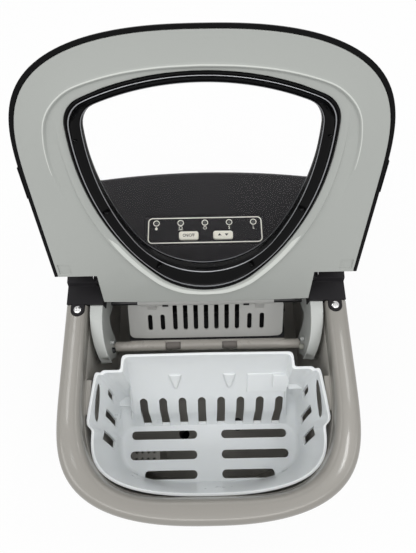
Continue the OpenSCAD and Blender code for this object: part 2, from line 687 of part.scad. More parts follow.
module water_tray() color([0.6, 0.59, 0.56]) {
    difference() {
        box(-tray_half, tray_half, trough_front, trough_rear, trough_low, trough_top);
        box(-tray_half + tray_t, tray_half - tray_t, trough_front + tray_t, trough_rear - tray_t,
            trough_low + tray_t, trough_top + 1);
    }
    // shelf from the trough to the bar
    box(-tray_half, tray_half, tray_y - 3, trough_front + eps, tray_z - 8, tray_z - 5.5);
    box(-tray_half, tray_half, tray_y - 3, tray_y + 3, tray_z - 6, tray_z - 2.5);
    for (s = bar_spans)
        rod_x(s[0], s[1], tray_y, tray_z, tray_bar_r);
    rod_x(-arm_x - arm_w + 1, -tray_bar_half + eps, tray_y, tray_z, tray_pin_r);
    rod_x(tray_bar_half - eps, tank_half + tank_t + 4, tray_y, tray_z, tray_pin_r);
}
module tray_motor() color([0.7, 0.7, 0.7]) difference() {
    rod_x(tank_half + tank_t, body_w / 2 - shell_t - 1, tray_y, tray_z, 20);
    rod_x(tank_half + tank_t - 1, tank_half + tank_t + 5, tray_y, tray_z, tray_pin_r + run);
}
module evaporator_block() color([0.78, 0.79, 0.8]) {
    box(-evap_half, evap_half, evap_y, evap_y + evap_d, evap_z, evap_z + evap_t);
    pair_x()
        box(evap_half - 30, evap_half - 14, evap_y + evap_d - eps, tank_rear_y, evap_z + 1, evap_z + 5);
}
module freezing_fingers() color([0.85, 0.86, 0.87]) {
    pitch = 2 * tube_half / (finger_count - 1);
    for (row = [0:1], i = [0:finger_count - 1 - row])
        translate([-tube_half + (i + row / 2) * pitch, evap_y + 11 + row * 19, evap_z]) {
            translate([0, 0, -finger_len + finger_r]) cylinder(h = finger_len - finger_r, r = finger_r);
            translate([0, 0, -finger_len + finger_r]) sphere(finger_r);
        }
}
module evaporator_tube() color([0.72, 0.45, 0.3])
    pipe([[-tube_half, tank_rear_y + tank_t + 8, tube_z], [-tube_half, tube_rows[0], tube_z],
        [tube_half, tube_rows[0], tube_z], [tube_half, tank_rear_y + tank_t + 8, tube_z]], tube_r);

// ---- Compressor, condenser and fan ----
module compressor_mounts() color([0.1, 0.1, 0.1]) for (p = comp_feet)
    difference() {
        rod_z(p[0], p[1], floor_z, floor_z + grommet_h, 7);
        rod_z(p[0], p[1], floor_z - 1, floor_z + grommet_h + 1, 2.5);
    }
module compressor() color([0.09, 0.09, 0.1]) {
    translate([comp_x, comp_y, comp_z]) rotate_extrude($fn = 64) polygon(concat([[0, 0]],
        [for (a = [-90:10:0]) [comp_r - 16 + 16 * cos(a), 16 + 16 * sin(a)]],
        [[comp_r, comp_h * 0.55], [comp_r + 1.5, comp_h * 0.55],
            [comp_r + 1.5, comp_h * 0.58], [comp_r, comp_h * 0.58]],
        [for (a = [0:10:90]) [comp_r - 22 + 22 * cos(a), comp_h - 22 + 22 * sin(a)]],
        [[0, comp_h]]));
    difference() {
        rounded_plate(comp_x, comp_y, 2 * comp_r + 14, 2 * comp_r + 4, 8, comp_z - plate_t, comp_z + eps);
        for (p = comp_feet)
            rod_z(p[0], p[1], comp_z - plate_t - 1, comp_z + 1, 2.5);
    }
}
module compressor_terminals() color([0.05, 0.05, 0.05]) difference() {
    rounded_plate(comp_x + comp_r + 2, comp_y - 12, 20, 36, 3, comp_z + 40, comp_z + 62);
    rod_z(comp_x, comp_y, comp_z, comp_z + comp_h, comp_r + gap);
}
inlet_x = cond_x - cond_w / 2 + 2.6;
cond_tube_zs = [for (i = [0:5]) pan_top + 14 + i * (cond_h - 28) / 5];
module condenser() color([0.75, 0.75, 0.76]) {
    x0 = cond_x - cond_w / 2;
    x1 = cond_x + cond_w / 2;
    for (i = [0:15])
        let (x = x0 + 6 + i * (cond_w - 12) / 15)
            box(x - 0.5, x + 0.5, cond_y, cond_y + cond_d, pan_top, pan_top + cond_h);
    for (z = cond_tube_zs)
        rod_x(x0 + 3, x1 - 3, cond_y + cond_d / 2, z, 3.5);
    for (i = [0:4])
        let (x = i % 2 == 0 ? x1 - 3 : x0 + 3)
            rod_z(x, cond_y + cond_d / 2, cond_tube_zs[i], cond_tube_zs[i + 1], 3);
}
module fan_shroud() color([0.12, 0.12, 0.13]) {
    x0 = cond_x - cond_w / 2;
    difference() {
        box(x0, x0 + cond_w, shroud_y, shroud_y + shroud_d, pan_top, pan_top + cond_h);
        rod_y(cond_x, shroud_y + spider_t, shroud_y + shroud_d + 1, fan_z, fan_r + 2);
        // the front is left closed where the spider carries the motor
        difference() {
            rod_y(cond_x, shroud_y - 1, shroud_y + spider_t + 0.5, fan_z, fan_r + 2);
            rod_y(cond_x, shroud_y - 2, shroud_y + spider_t + 1, fan_z, 13);
            for (a = [45:90:315])
                translate([cond_x, shroud_y - 2, fan_z]) rotate([0, a, 0])
                    translate([8, 0, -2]) cube([fan_r + 4, spider_t + 3, 4]);
        }
        rod_y(cond_x, shroud_y - 1, shroud_y + spider_t + 1, fan_z, 4);
    }
}
module fan_motor() color([0.5, 0.5, 0.52]) {
    rod_y(cond_x, shroud_y - 24, shroud_y, fan_z, 18);
    rod_y(cond_x, shroud_y - eps, shroud_y + 14, fan_z, 1.5);
}
module fan_blades() color([0.15, 0.15, 0.16]) difference() {
    union() {
        rod_y(cond_x, shroud_y + 4, shroud_y + 16, fan_z, 11);
        intersection() {
            for (a = [0:60:300])
                translate([cond_x, shroud_y + 10, fan_z]) rotate([0, a, 0]) rotate([28, 0, 0])
                    translate([6, -0.8, -11]) cube([fan_r, 1.6, 22]);
            rod_y(cond_x, shroud_y + 4, shroud_y + 16, fan_z, fan_r);
        }
    }
    rod_y(cond_x, shroud_y + 3, shroud_y + 17, fan_z, 1.5 + run);
}
drier_z = pan_top + 20;
module filter_drier() color([0.7, 0.42, 0.28]) {
    translate([drier_x, drier_y, drier_z]) rotate_extrude()
        polygon([[0, 0], [3, 0], [9, 9], [9, drier_h - 9], [3, drier_h], [0, drier_h]]);
}
module hot_gas_valve() color([0.3, 0.3, 0.32]) difference() {
    union() {
        rod_z(valve_x, valve_y, valve_z - 6, valve_z + valve_h + 6, 11);
        box(valve_x - valve_w / 2, valve_x + valve_w / 2, valve_y - valve_w / 2, valve_y + valve_w / 2,
            valve_z, valve_z + valve_h);
    }
    rod_z(valve_x, valve_y, valve_z - 7, valve_z + 4, pipe_r + 0.1);
}
module discharge_pipe() color([0.72, 0.45, 0.3])
    pipe([[comp_x, comp_y + comp_r + gap, comp_z + comp_h * 0.7],
        [comp_x, discharge_y, comp_z + comp_h * 0.7],
        [comp_x, discharge_y, valve_z - 16], [valve_x, valve_y, valve_z - 16],
        [valve_x, valve_y, valve_z + 3]], pipe_r);
module suction_pipe() color([0.72, 0.45, 0.3])
    pipe([[-tube_half, tank_rear_y + tank_t + 8.2, tube_z], [-tube_half, suction_y, tube_z],
        [-tube_half, suction_y, comp_z + comp_h * 0.35],
        [-tube_half, comp_y + comp_r + gap, comp_z + comp_h * 0.35]], pipe_r);
module drier_pipe() color([0.72, 0.45, 0.3])
    pipe([[cond_x - cond_w / 2 + 2.9, drier_y, cond_tube_zs[0]], [drier_x, drier_y, cond_tube_zs[0]],
        [drier_x, drier_y, drier_z - 0.1]], pipe_r - 0.4);
module condenser_pipe() color([0.72, 0.45, 0.3])
    pipe([[comp_x + pipe_r + 0.2, discharge_y, tank_high_z - 4], [inlet_x, discharge_y, tank_high_z - 4],
        [inlet_x, drier_y, tank_high_z - 4], [inlet_x, drier_y, cond_tube_zs[5] + 3.6]], pipe_r - 0.4);
module liquid_pipe() color([0.72, 0.45, 0.3])
    pipe([[drier_x, drier_y, drier_z + drier_h + 0.1], [drier_x, drier_y, tank_high_z + 60],
        [tube_half, drier_y, tube_z], [tube_half, tank_rear_y + tank_t + 8.2, tube_z]], pipe_r);

// ---- Pump ----
module water_pump() color([0.1, 0.1, 0.11]) difference() {
    union() {
        rod_z(pump_x, pump_y, pump_z, pump_z + pump_h, pump_r);
        rod_z(pump_x, pump_y, pump_z + pump_h - eps, tank_low_z, 9);
        rod_z(pump_x, pump_y, tank_low_z - eps, tank_low_z + tank_t + 2, 7);
        rod_x(pump_x, pump_x + pump_r + 12, pump_y, pump_z + 14, hose_r);
    }
    rod_z(pump_x, pump_y, pump_z + pump_h - 8, tank_low_z + tank_t + 3, 4);
}
module pump_hose() color([0.85, 0.86, 0.84])
    pipe([[pump_x + pump_r + 12, pump_y, pump_z + 14], [hose_x, pump_y, pump_z + 14],
        [hose_x, hose_y, pump_z + 14], [hose_x, hose_y, tank_high_z - 7],
        [hose_x, tank_rear_y + 10, tank_high_z - 7], [hose_x, tank_rear_y + 10, evap_z + 4],
        [hose_x - 14, tank_rear_y + 10, evap_z + 4], [hose_x - 14, tank_rear_y - 12, evap_z + 4]], hose_r);

// ---- Basket ----
basket_side_power = 2.5;
basket_front_power = 3.1;
function basket_nose(half, front, start) = [for (i = [0:12]) let (t = 90 * i / 12)
    [half * pow(cos(t), 2 / basket_side_power),
        start - (start - front) * pow(sin(t), 2 / basket_front_power)]];
function tub_plan(half, front, start, back_half, back) =
    concat(both_sides(basket_nose(half, front, start)), [[-back_half, back], [back_half, back]]);
floor_half = basket_half - 9;
tub_floor_y = basket_nose_y + 3.9;
slot_pitch = (lip_half + 1.1) / 4;
module tub(inset, z0, z1) hull() {
    slab(tub_plan(basket_half - inset, basket_front + inset, basket_nose_y,
        basket_half - 5.5 - inset, basket_back_y - inset), basket_z - 12, z1);
    slab(tub_plan(floor_half - inset, basket_front + 2.5 + inset, basket_nose_y - 8,
        floor_half - 3 - inset, tub_floor_y - inset), z0, z0 + 0.5);
}
module basket_slots() {
    for (i = [-3.5:1:3.5])
        box(i * slot_pitch - 3.8, i * slot_pitch + 3.8, tub_floor_y - 12, basket_back_y,
            basket_floor_z + 9, basket_floor_z + 47);
    pair_x() {
        // floor slots, as rows ahead of the front wall, each with its distance from the side
        for (row = [[45.5, 7.5], [27.5, 6.5], [11, 18.5]])
            slot_z(12.2, floor_half - row[1], basket_front + row[0], 8.4, basket_floor_z - 1,
                basket_floor_z + 6);
        for (y = [32, 13, -7])
            translate([0, basket_nose_y + y, basket_z - 42]) rotate([28, 0, 0])
                box(basket_half - 33.5, basket_half + 16.5, -3.6, 3.6, -13, 13);
        // finger slot in the side rim
        box(basket_half + 0.6, basket_half + 3.4, ledge_front - 2, ledge_rear, wing_z - 1, basket_z + 1);
    }
}
module basket_wing() {
    translate([0, 0, wing_z]) linear_extrude(basket_z - wing_z)
        polygon([[basket_half - 7.5, basket_back_y], [basket_half + 1.1, basket_back_y - 2],
            [basket_half + 5.8, basket_nose_y + 7.9], [basket_half - 0.6, basket_nose_y],
            [basket_half - 7.5, basket_nose_y]]);
}
module ice_basket() color([0.8, 0.83, 0.86]) difference() {
    union() {
        difference() {
            union() {
                tub(0, basket_floor_z, basket_z);
                pair_x() basket_wing();
            }
            tub(basket_t, basket_floor_z + basket_t, basket_z + 1);
            box(-lip_half, lip_half, basket_back_y - 8, basket_back_y + 1, basket_z - 10, basket_z + 1);
        }
        // pouring lip behind the rear wall
        along_x(-lip_half, lip_half, [[basket_back_y - 2, basket_z - 12], [lip_y, basket_z - 2],
            [lip_y, basket_z], [basket_back_y - 2.2, basket_z - 9.8]]);
        pair_x() along_x(lip_half - eps, lip_half + basket_t, [[basket_back_y - 2, basket_z - 12],
            [lip_y, basket_z - 2], [lip_y, basket_z], [basket_back_y - 2, basket_z]]);
    }
    basket_slots();
}

// ---- Lid ----
module in_lid() translate([0, hinge_y, hinge_z]) rotate([-lid_open, 0, 0]) children();
function lid_plan(inset, rear) = [for (p = plan(inset, rear + hinge_y, 0)) [p[0], p[1] - hinge_y]];
module lid_corners(z0, z1, more) pair_x()
    box(block_x - 0.8 - more, body_w, -lid_corner_s, 40, z0, z1);
module lid_cover() color([0.1, 0.1, 0.11]) in_lid() difference() {
    union() {
        difference() {
            hull() {
                slab(lid_plan(-lid_over, 5.5), -lid_drop, -3);
                slab(lid_plan(0.6, 5.5), -3.5, 0.5);
                slab(lid_plan(6, 5), 0, 3);
                slab(lid_plan(26, -40), 0, lid_crown);
            }
            hull() {
                slab(lid_plan(lid_t - lid_over, 7), -lid_drop - 1, -3.5);
                slab(lid_plan(6 + lid_t, 7), -4, 3 - lid_t);
                slab(lid_plan(28, -43), 0, lid_crown - lid_t);
            }
        }
        pair_x() {
            // finger pads on the sides
            box(body_w / 2 + lid_over - 1, body_w / 2 + lid_over + 0.6, -widest_s - 30.1, -widest_s - 6.1,
                -lid_drop, -5);
            // bosses for the ring's screws
            for (p = screw_spots)
                rod_z(p[0], -p[1], ring_z + ring_flange + 0.2, lid_crown - lid_t + 0.3, 1.9);
        }
    }
    slab(clear_outline(0.8), -lid_drop, lid_crown + 1);
    lid_corners(-lid_drop - 1, lid_crown + 1, 0);
    pair_x() {
        box(knuckle_in - gap, knuckle_out + 2, -knuckle_r - gap, knuckle_r + 3, -lid_drop - 1, 5);
        for (p = screw_spots)
            rod_z(p[0], -p[1], -lid_drop, -1, 1.1);
    }
}
module lid_liner() color([0.68, 0.69, 0.67]) in_lid() difference() {
    union() {
        difference() {
            slab(lid_plan(lid_t - lid_over + gap, 5), -lid_drop, liner_t - lid_drop);
            lid_corners(-lid_drop - 1, 0, 0);
            box(-body_w, body_w, -3, 6, -lid_drop - 1, 0);
        }
        // tongue that closes the hinge end
        along_x(-tongue_half, tongue_half, [[-3 - eps, -lid_drop], [tongue_len, -lid_drop + 1.3],
            [tongue_len, -lid_drop + 1.3 + liner_t], [-3 - eps, -lid_drop + liner_t]]);
        pair_x() {
            rod_x(knuckle_in, knuckle_out, 0, 0, knuckle_r);
            box(knuckle_in, knuckle_out, -3, 3, -lid_drop + 1, 0);
        }
    }
    slab(ring_outline(0), -lid_drop - 2, 0);
    pair_x() {
        rod_x(knuckle_in - 1, knuckle_out + 1, 0, 0, pin_r + run);
        // small recess at each corner
        box(ear_x - 2.75, ear_x + 6.85, -23.5, -14.2, -lid_drop - 1, -lid_drop + 1);
    }
}
module window_ring() color([0.04, 0.04, 0.045]) in_lid() difference() {
    union() {
        ring(ring_outline(-gap), clear_outline(0), ring_z, ring_z + ring_flange);
        ring(clear_outline(2.2), clear_outline(0), -lid_drop, window_z);
    }
    pair_x() for (p = screw_spots)
        rod_z(p[0], -p[1], -lid_drop - 2, 0, 1.1);
}
module lid_window() color([0.8, 0.86, 0.88, 0.35]) in_lid()
    slab(clear_outline(2.2), window_z, window_z + window_t);
module ring_screws() color([0.15, 0.15, 0.16]) in_lid() pair_x() for (p = screw_spots) {
    rod_z(p[0], -p[1], ring_z - 0.7, ring_z, 1.9);
    rod_z(p[0], -p[1], ring_z - eps, ring_z + 8, 1);
}
module hinge_pins() color([0.7, 0.7, 0.72]) pair_x() {
    rod_x(knuckle_in + 1, block_x + cheek_t + eps, hinge_y, hinge_z, pin_r);
    rod_x(block_x + cheek_t, block_x + cheek_t + 1.2, hinge_y, hinge_z, pin_r + 1.2);
}

outer_shell();
top_frame();
base_pan();
foot_front_left();
foot_front_right();
foot_rear_left();
foot_rear_right();
rear_panel();
panel_screws();
cord_gland();
rear_top_cover();
ear_screws();
control_panel();
indicator_lenses();
control_board();
power_button();
select_button();
water_tank();
tank_insulation();
water_filter();
drain_plug();
side_arm_left();
side_arm_right();
ice_sensors();
shovel_rod();
ice_shovel();
water_tray();
tray_motor();
evaporator_block();
freezing_fingers();
evaporator_tube();
compressor();
compressor_terminals();
compressor_mounts();
condenser();
fan_shroud();
fan_motor();
fan_blades();
filter_drier();
hot_gas_valve();
discharge_pipe();
suction_pipe();
liquid_pipe();
drier_pipe();
condenser_pipe();
water_pump();
pump_hose();
ice_basket();
lid_cover();
lid_liner();
lid_window();
window_ring();
ring_screws();
hinge_pins();
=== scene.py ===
"""Dresses the countertop ice maker: moulded shells, clear parts, metal and their finishes.

Lengths in the classes are in millimetres, in the same frame as the CAD part. Each finished
piece is scaled to metres, and the lid's pieces are swung open about its hinge axis.
"""

import logging
import math
from collections.abc import Callable, Iterable, Sequence
from dataclasses import dataclass
from enum import Enum

import bmesh
import bpy
from mathutils import Matrix, Vector


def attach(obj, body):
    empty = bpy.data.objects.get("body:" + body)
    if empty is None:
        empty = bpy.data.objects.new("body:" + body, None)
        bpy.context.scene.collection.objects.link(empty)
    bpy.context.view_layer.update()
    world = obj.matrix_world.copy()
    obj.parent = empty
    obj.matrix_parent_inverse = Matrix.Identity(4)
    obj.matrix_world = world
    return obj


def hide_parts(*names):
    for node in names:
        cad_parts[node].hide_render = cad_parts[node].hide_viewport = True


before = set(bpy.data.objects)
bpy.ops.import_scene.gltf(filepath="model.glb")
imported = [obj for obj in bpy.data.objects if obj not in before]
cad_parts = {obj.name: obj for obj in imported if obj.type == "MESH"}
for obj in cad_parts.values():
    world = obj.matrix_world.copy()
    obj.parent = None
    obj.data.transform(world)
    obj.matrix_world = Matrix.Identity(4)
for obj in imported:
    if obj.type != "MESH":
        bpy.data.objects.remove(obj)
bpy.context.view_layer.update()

LOG = logging.getLogger("ice_maker")
MM = 0.001
SMOOTH_BELOW = math.radians(34)
SIDES = (-1, 1)
UPRIGHT = Matrix.Rotation(math.radians(90), 3, "X")
SIDEWAYS = Matrix(((0, 0, 1), (1, 0, 0), (0, 1, 0)))

Mesh = bmesh.types.BMesh
Tree = bpy.types.NodeTree
Point = tuple[float, float]
Spot = tuple[float, float, float]
Loop = list[Point]
Ring = list[Spot]


# ---------------------------------------------------------------- outlines


@dataclass(frozen=True)
class Casing:
    """The plan of the body and the lines that the lid, tank and covers take from it."""

    width: float = 241.0
    depth: float = 295.0
    rim_z: float = 299.5
    frame_h: float = 13.5
    nose_len: float = 111.5
    band_w: float = 18.5
    side_power: float = 2.466
    front_power: float = 4.135
    hinge_y: float = 42.9
    hinge_z: float = 313.2
    block_y: float = 22.3
    lid_open: float = 116.3
    lid_drop: float = 12.5

    @property
    def rear_y(self) -> float:
        """Rear face of the body."""
        return self.depth / 2

    def nose(self, inset: float, p: float, q: float, rear: float) -> Loop:
        """A plan with a rounded nose, closed square at the rear.

        Args:
            inset: How far the outline is set inwards.
            p: Power of the nose's curve across.
            q: Power of the nose's curve along.
            rear: Y of the straight rear edge.

        Returns:
            The outline's points, once round.
        """
        side = quarter(self.width / 2 - inset, self.nose_len - inset, p, q, self.nose_len - self.rear_y, 48)
        left = [(-x, y) for x, y in reversed(side[:-1])]
        return side + left + [(-side[0][0], rear), (side[0][0], rear)]

    def plan(self, inset: float, rear: float) -> Loop:
        """The body's plan, set inwards by inset and closed square at rear."""
        return self.nose(inset, self.side_power, self.front_power, rear)

    def cavity(self, inset: float, rear: float) -> Loop:
        """The tank's mouth, set inwards by inset and closed square at rear."""
        return self.nose(self.band_w + inset, 4.0, 3.1, rear)

    def lid_plan(self, inset: float, rear: float) -> Loop:
        """The body's plan in the lid's own frame, whose origin is on the hinge axis."""
        return [(x, y - self.hinge_y) for x, y in self.plan(inset, rear + self.hinge_y)]

    def open_lid(self) -> Matrix:
        """Turns and moves a piece from the lid's own frame to its open place, in millimetres."""
        return (Matrix.Translation((0, self.hinge_y, self.hinge_z))
                @ Matrix.Rotation(math.radians(-self.lid_open), 4, "X"))


def quarter(half: float, length: float, p: float, q: float, start: float, steps: int) -> Loop:
    """One side of a rounded nose, from its widest point to the middle of its front.

    Args:
        half: Half the width.
        length: Distance from the widest point to the front.
        p: Power of the curve across.
        q: Power of the curve along.
        start: Y of the widest point.
        steps: Number of steps along the curve.

    Returns:
        The points from the side to the front.
    """
    turns = [math.radians(90 * i / steps) for i in range(steps + 1)]
    return [(half * max(math.cos(t), 0.0) ** (2 / p), start - length * math.sin(t) ** (2 / q)) for t in turns]


def arc(centre: Point, radius: float, start: float, end: float, steps: int) -> Loop:
    """Points along an arc, with its angles in degrees."""
    turns = [math.radians(start + (end - start) * i / steps) for i in range(steps + 1)]
    return [(centre[0] + radius * math.cos(t), centre[1] + radius * math.sin(t)) for t in turns]


def bearing(a: Point, b: Point) -> float:
    """Direction from a to b in degrees."""
    return math.degrees(math.atan2(b[1] - a[1], b[0] - a[0]))


def meet(p: Point, rp: float, q: Point, rq: float) -> Point:
    """Where two circles cross, on the left of the way from the first to the second.

    Args:
        p: The first circle's middle.
        rp: Its radius.
        q: The second circle's middle.
        rq: Its radius.

    Returns:
        The crossing point.
    """
    d = math.dist(p, q)
    a = (rp * rp - rq * rq + d * d) / (2 * d)
    h = math.sqrt(rp * rp - a * a)
    ux, uy = (q[0] - p[0]) / d, (q[1] - p[1]) / d
    return p[0] + a * ux - h * uy, p[1] + a * uy + h * ux


def both_sides(half: Loop) -> Loop:
    """Half an outline of x and s, from the foot to the top, made whole in the lid's own frame."""
    return [(x, -s) for x, s in half + [(-x, s) for x, s in reversed(half[1:-1])]]


@dataclass(frozen=True)
class Shield:
    """Shield-shaped outline of four tangent arcs a side, with s measured forward of the hinge."""

    low_s: float
    low_r: float
    side_r: float
    corner: Point
    corner_r: float
    top_s: float

    def points(self, grow: float) -> Loop:
        """The outline in the lid's own frame, grown outwards by grow.

        Args:
            grow: How far outwards.

        Returns:
            The closed outline.
        """
        base = (0.0, self.low_s + self.low_r)
        side = meet(base, self.side_r - self.low_r, self.corner, self.side_r - self.corner_r)
        rise = self.top_s - self.corner[1]
        top_r = (self.corner[0] ** 2 + rise**2 - self.corner_r**2) / (2 * (rise - self.corner_r))
        top = (0.0, self.top_s - top_r)
        turns = (-90, bearing(side, base), bearing(side, self.corner), bearing(top, self.corner), 90)
        radii = (self.low_r, self.side_r, self.corner_r, top_r)
        half: Loop = []
        for i, (centre, steps) in enumerate(zip((base, side, self.corner, top), (20, 24, 14, 24))):
            half += arc(centre, radii[i] + grow, turns[i], turns[i + 1], steps)[min(i, 1):]
        return both_sides(half)


def flowing(points: Sequence[Point], steps: int) -> Loop:
    """A smooth curve through every point, with steps points from each to the next.

    Args:
        points: What the curve passes through.
        steps: How many points it has from each to the next.

    Returns:
        The curve's points.
    """
    line: Loop = []
    ends = [points[0], *points, points[-1]]
    for before, a, b, after in zip(ends, ends[1:], ends[2:], ends[3:]):
        for t in (k / steps for k in range(steps)):
            line.append(tuple(0.5 * (2 * q + (r - p) * t + (2 * p - 5 * q + 4 * r - w) * t * t
                                     + (3 * q - p - 3 * r + w) * t**3)
                              for p, q, r, w in zip(before, a, b, after)))
    return [*line, points[-1]]


def rounded_box(x: float, y: float, w: float, d: float, r: float, steps: int = 6) -> Loop:
    """A rounded rectangle's outline, anticlockwise.

    Args:
        x: Its middle across.
        y: Its middle along.
        w: Its width.
        d: Its depth.
        r: Its corner radius.
        steps: Steps in each corner.

    Returns:
        The outline.
    """
    corners = [(1, 1, 0), (-1, 1, 90), (-1, -1, 180), (1, -1, 270)]
    return [p for sx, sy, a in corners
            for p in arc((x + sx * (w / 2 - r), y + sy * (d / 2 - r)), r, a, a + 90, steps)]


def between_0_1(value: float) -> float:
    """A value held between nought and one."""
    return min(max(value, 0.0), 1.0)


def pushed(loop: Loop, centre: Point, by: float) -> Loop:
    """An outline whose points are moved away from a centre by a distance."""
    return [(x + (x - centre[0]) * by / far, y + (y - centre[1]) * by / far)
            for x, y in loop for far in (math.dist((x, y), centre),)]


def part_way(start: Loop, end: Loop, share: Callable[[float], float]) -> Loop:
    """An outline part of the way from one to another, where share turns each gap into its part."""
    return [(a[0] + (b[0] - a[0]) * k, a[1] + (b[1] - a[1]) * k)
            for a, b in zip(start, end) for k in (share(math.dist(a, b)),)]


@dataclass
class Fan:
    """Rays round a centre, on which nested outlines share their steps."""

    centre: Point
    count: int
    corners: Iterable[Point] = ()

    def __post_init__(self) -> None:
        """Spreads the rays evenly, with one more through each corner."""
        sharp = [math.atan2(y - self.centre[1], x - self.centre[0]) for x, y in self.corners]
        even = [2 * math.pi * i / self.count - math.pi for i in range(self.count)]
        self.angles = sorted([a for a in even if all(abs(a - b) > math.pi / self.count * 0.8 for b in sharp)]
                             + sharp)

    def on(self, outline: Loop) -> Loop:
        """Where the rays meet a closed outline, with one point for each ray.

        Args:
            outline: The closed outline.

        Returns:
            One point for each ray.
        """
        found: Loop = []
        for dx, dy in ((math.cos(a), math.sin(a)) for a in self.angles):
            best = 0.0
            for (ax, ay), (bx, by) in zip(outline, outline[1:] + outline[:1]):
                ex, ey = bx - ax, by - ay
                bend = dx * ey - dy * ex
                if abs(bend) < 1e-12:
                    continue
                px, py = ax - self.centre[0], ay - self.centre[1]
                reach, share = (px * ey - py * ex) / bend, (px * dy - py * dx) / bend
                if -1e-9 <= share <= 1 + 1e-9 and reach > best:
                    best = reach
            found.append((self.centre[0] + best * dx, self.centre[1] + best * dy))
        return found


# ---------------------------------------------------------------- meshes


class Skin:
    """A mesh in millimetres that grows loop by loop, by extruding its open edge."""

    def __init__(self, bm: Mesh | None = None) -> None:
        """Starts on an empty mesh, or on the one that is given."""
        self.bm = bmesh.new() if bm is None else bm
        self.ring: list[bmesh.types.BMVert] = []

    def edges(self) -> list[bmesh.types.BMEdge]:
        """The edges of the open loop."""
        return [self.bm.edges.get(pair) for pair in zip(self.ring, self.ring[1:] + self.ring[:1])]

    def start(self, points: Sequence[Sequence[float]]) -> "Skin":
        """Lays the first closed loop of points.

        Args:
            points: The loop.

        Returns:
            The skin itself.
        """
        self.ring = [self.bm.verts.new(p) for p in points]
        for pair in zip(self.ring, self.ring[1:] + self.ring[:1]):
            self.bm.edges.new(pair)
        return self

    def grow(self, *loops: Sequence[Sequence[float]]) -> "Skin":
        """Extrudes the open loop to new ones.

        Args:
            loops: The new loops, each in the order of the last one.

        Returns:
            This skin.
        """
        for points in loops:
            made = bmesh.ops.extrude_edge_only(self.bm, edges=self.edges())["geom"]
            fresh = {v for v in made if isinstance(v, bmesh.types.BMVert)}
            ring = []
            for old, place in zip(self.ring, points):
                new = next(e.other_vert(old) for e in old.link_edges if e.other_vert(old) in fresh)
                new.co = place
                ring.append(new)
            self.ring = ring
        return self

    def cap(self) -> "Skin":
        """Closes the open loop with one face."""
        bmesh.ops.contextual_create(self.bm, geom=self.edges())
        return self

    def solid(self, loops: Iterable[Sequence[Sequence[float]]]) -> Mesh:
        """Skins loops from the first to the last and caps both ends."""
        first, *rest = loops
        return self.start(first).cap().grow(*rest).cap().bm

    def tube(self, loops: Iterable[Sequence[Sequence[float]]]) -> Mesh:
        """Skins loops from the first to the last, and then on to the first.

        Args:
            loops: The loops in their order.

        Returns:
            The mesh.
        """
        first, *rest = loops
        seam = self.start(first).edges()
        bmesh.ops.bridge_loops(self.bm, edges=seam + self.grow(*rest).edges())
        return self.bm


def at_height(loop: Loop, z: float) -> Ring:
    """A plan outline at one height."""
    return [(x, y, z) for x, y in loop]


def prism(bm: Mesh, loop: Loop, low: float, high: float) -> None:
    """Adds a closed upright prism to a mesh.

    Args:
        bm: The mesh.
        loop: The outline.
        low: Its lower level.
        high: Its upper level.
    """
    base = Skin(bm).start(at_height(loop, low)).edges()
    face = bmesh.ops.contextual_create(bm, geom=base)["faces"]
    made = bmesh.ops.extrude_face_region(bm, geom=face)["geom"]
    bmesh.ops.translate(bm, vec=(0, 0, high - low),
                        verts=[v for v in made if isinstance(v, bmesh.types.BMVert)])


def block(bm: Mesh, a: Spot, b: Spot, turn: Matrix | None = None, move: Spot = (0, 0, 0)) -> None:
    """Adds a box to a mesh.

    Args:
        bm: The mesh.
        a: One corner.
        b: The opposite corner.
        turn: Turns the box about its middle.
        move: Moves it after that.
    """
    made = bmesh.ops.create_cube(bm, size=1.0)["verts"]
    bmesh.ops.scale(bm, vec=[abs(q - p) for p, q in zip(a, b)], verts=made)
    if turn is not None:
        bmesh.ops.rotate(bm, cent=(0, 0, 0), matrix=turn, verts=made)
    bmesh.ops.translate(bm, vec=[(p + q) / 2 for p, q in zip(a, b)], verts=made)
    bmesh.ops.translate(bm, vec=move, verts=made)


def rod(bm: Mesh, a: Spot, b: Spot, radius: float, steps: int, tip: float | None = None) -> None:
    """Adds a closed round rod.

    Args:
        bm: The mesh.
        a: One end's middle.
        b: The other end's middle.
        radius: Its radius.
        steps: Sides of its outline.
        tip: Its radius at b, where that is another.
    """
    start, way = Vector(a), Vector(b) - Vector(a)
    made = bmesh.ops.create_cone(bm, cap_ends=True, segments=steps, radius1=radius,
                                 radius2=radius if tip is None else tip, depth=way.length)["verts"]
    bmesh.ops.rotate(bm, cent=(0, 0, 0), matrix=way.to_track_quat("Z", "Y").to_matrix(), verts=made)
    bmesh.ops.translate(bm, vec=start + way / 2, verts=made)


def join(whole: Mesh, part: Mesh) -> None:
    """Adds one mesh to another and frees it.

    Args:
        whole: The mesh that grows.
        part: The mesh that goes into it.
    """
    mesh = bpy.data.meshes.new("part")
    part.to_mesh(mesh)
    part.free()
    whole.from_mesh(mesh)
    bpy.data.meshes.remove(mesh)


def slit(bm: Mesh, at: Spot, across: Spot, **clear: bool) -> None:
    """Cuts a mesh along a plane, and closes it again where one side is cleared.

    Args:
        bm: The mesh.
        at: A point of the plane.
        across: The plane's normal.
        clear: Which side is cleared, as clear_inner or clear_outer.
    """
    bmesh.ops.bisect_plane(bm, geom=[*bm.verts, *bm.edges, *bm.faces], plane_co=at, plane_no=across, **clear)
    if clear:
        bmesh.ops.holes_fill(bm, edges=[e for e in bm.edges if e.is_boundary], sides=0)


def sharpen(bm: Mesh) -> None:
    """Shades every face smooth and keeps edges crisp where faces turn sharply.

    Args:
        bm: The mesh.
    """
    for face in bm.faces:
        face.smooth = True
    for edge in bm.edges:
        edge.smooth = len(edge.link_faces) == 2 and edge.calc_face_angle(0.0) < SMOOTH_BELOW


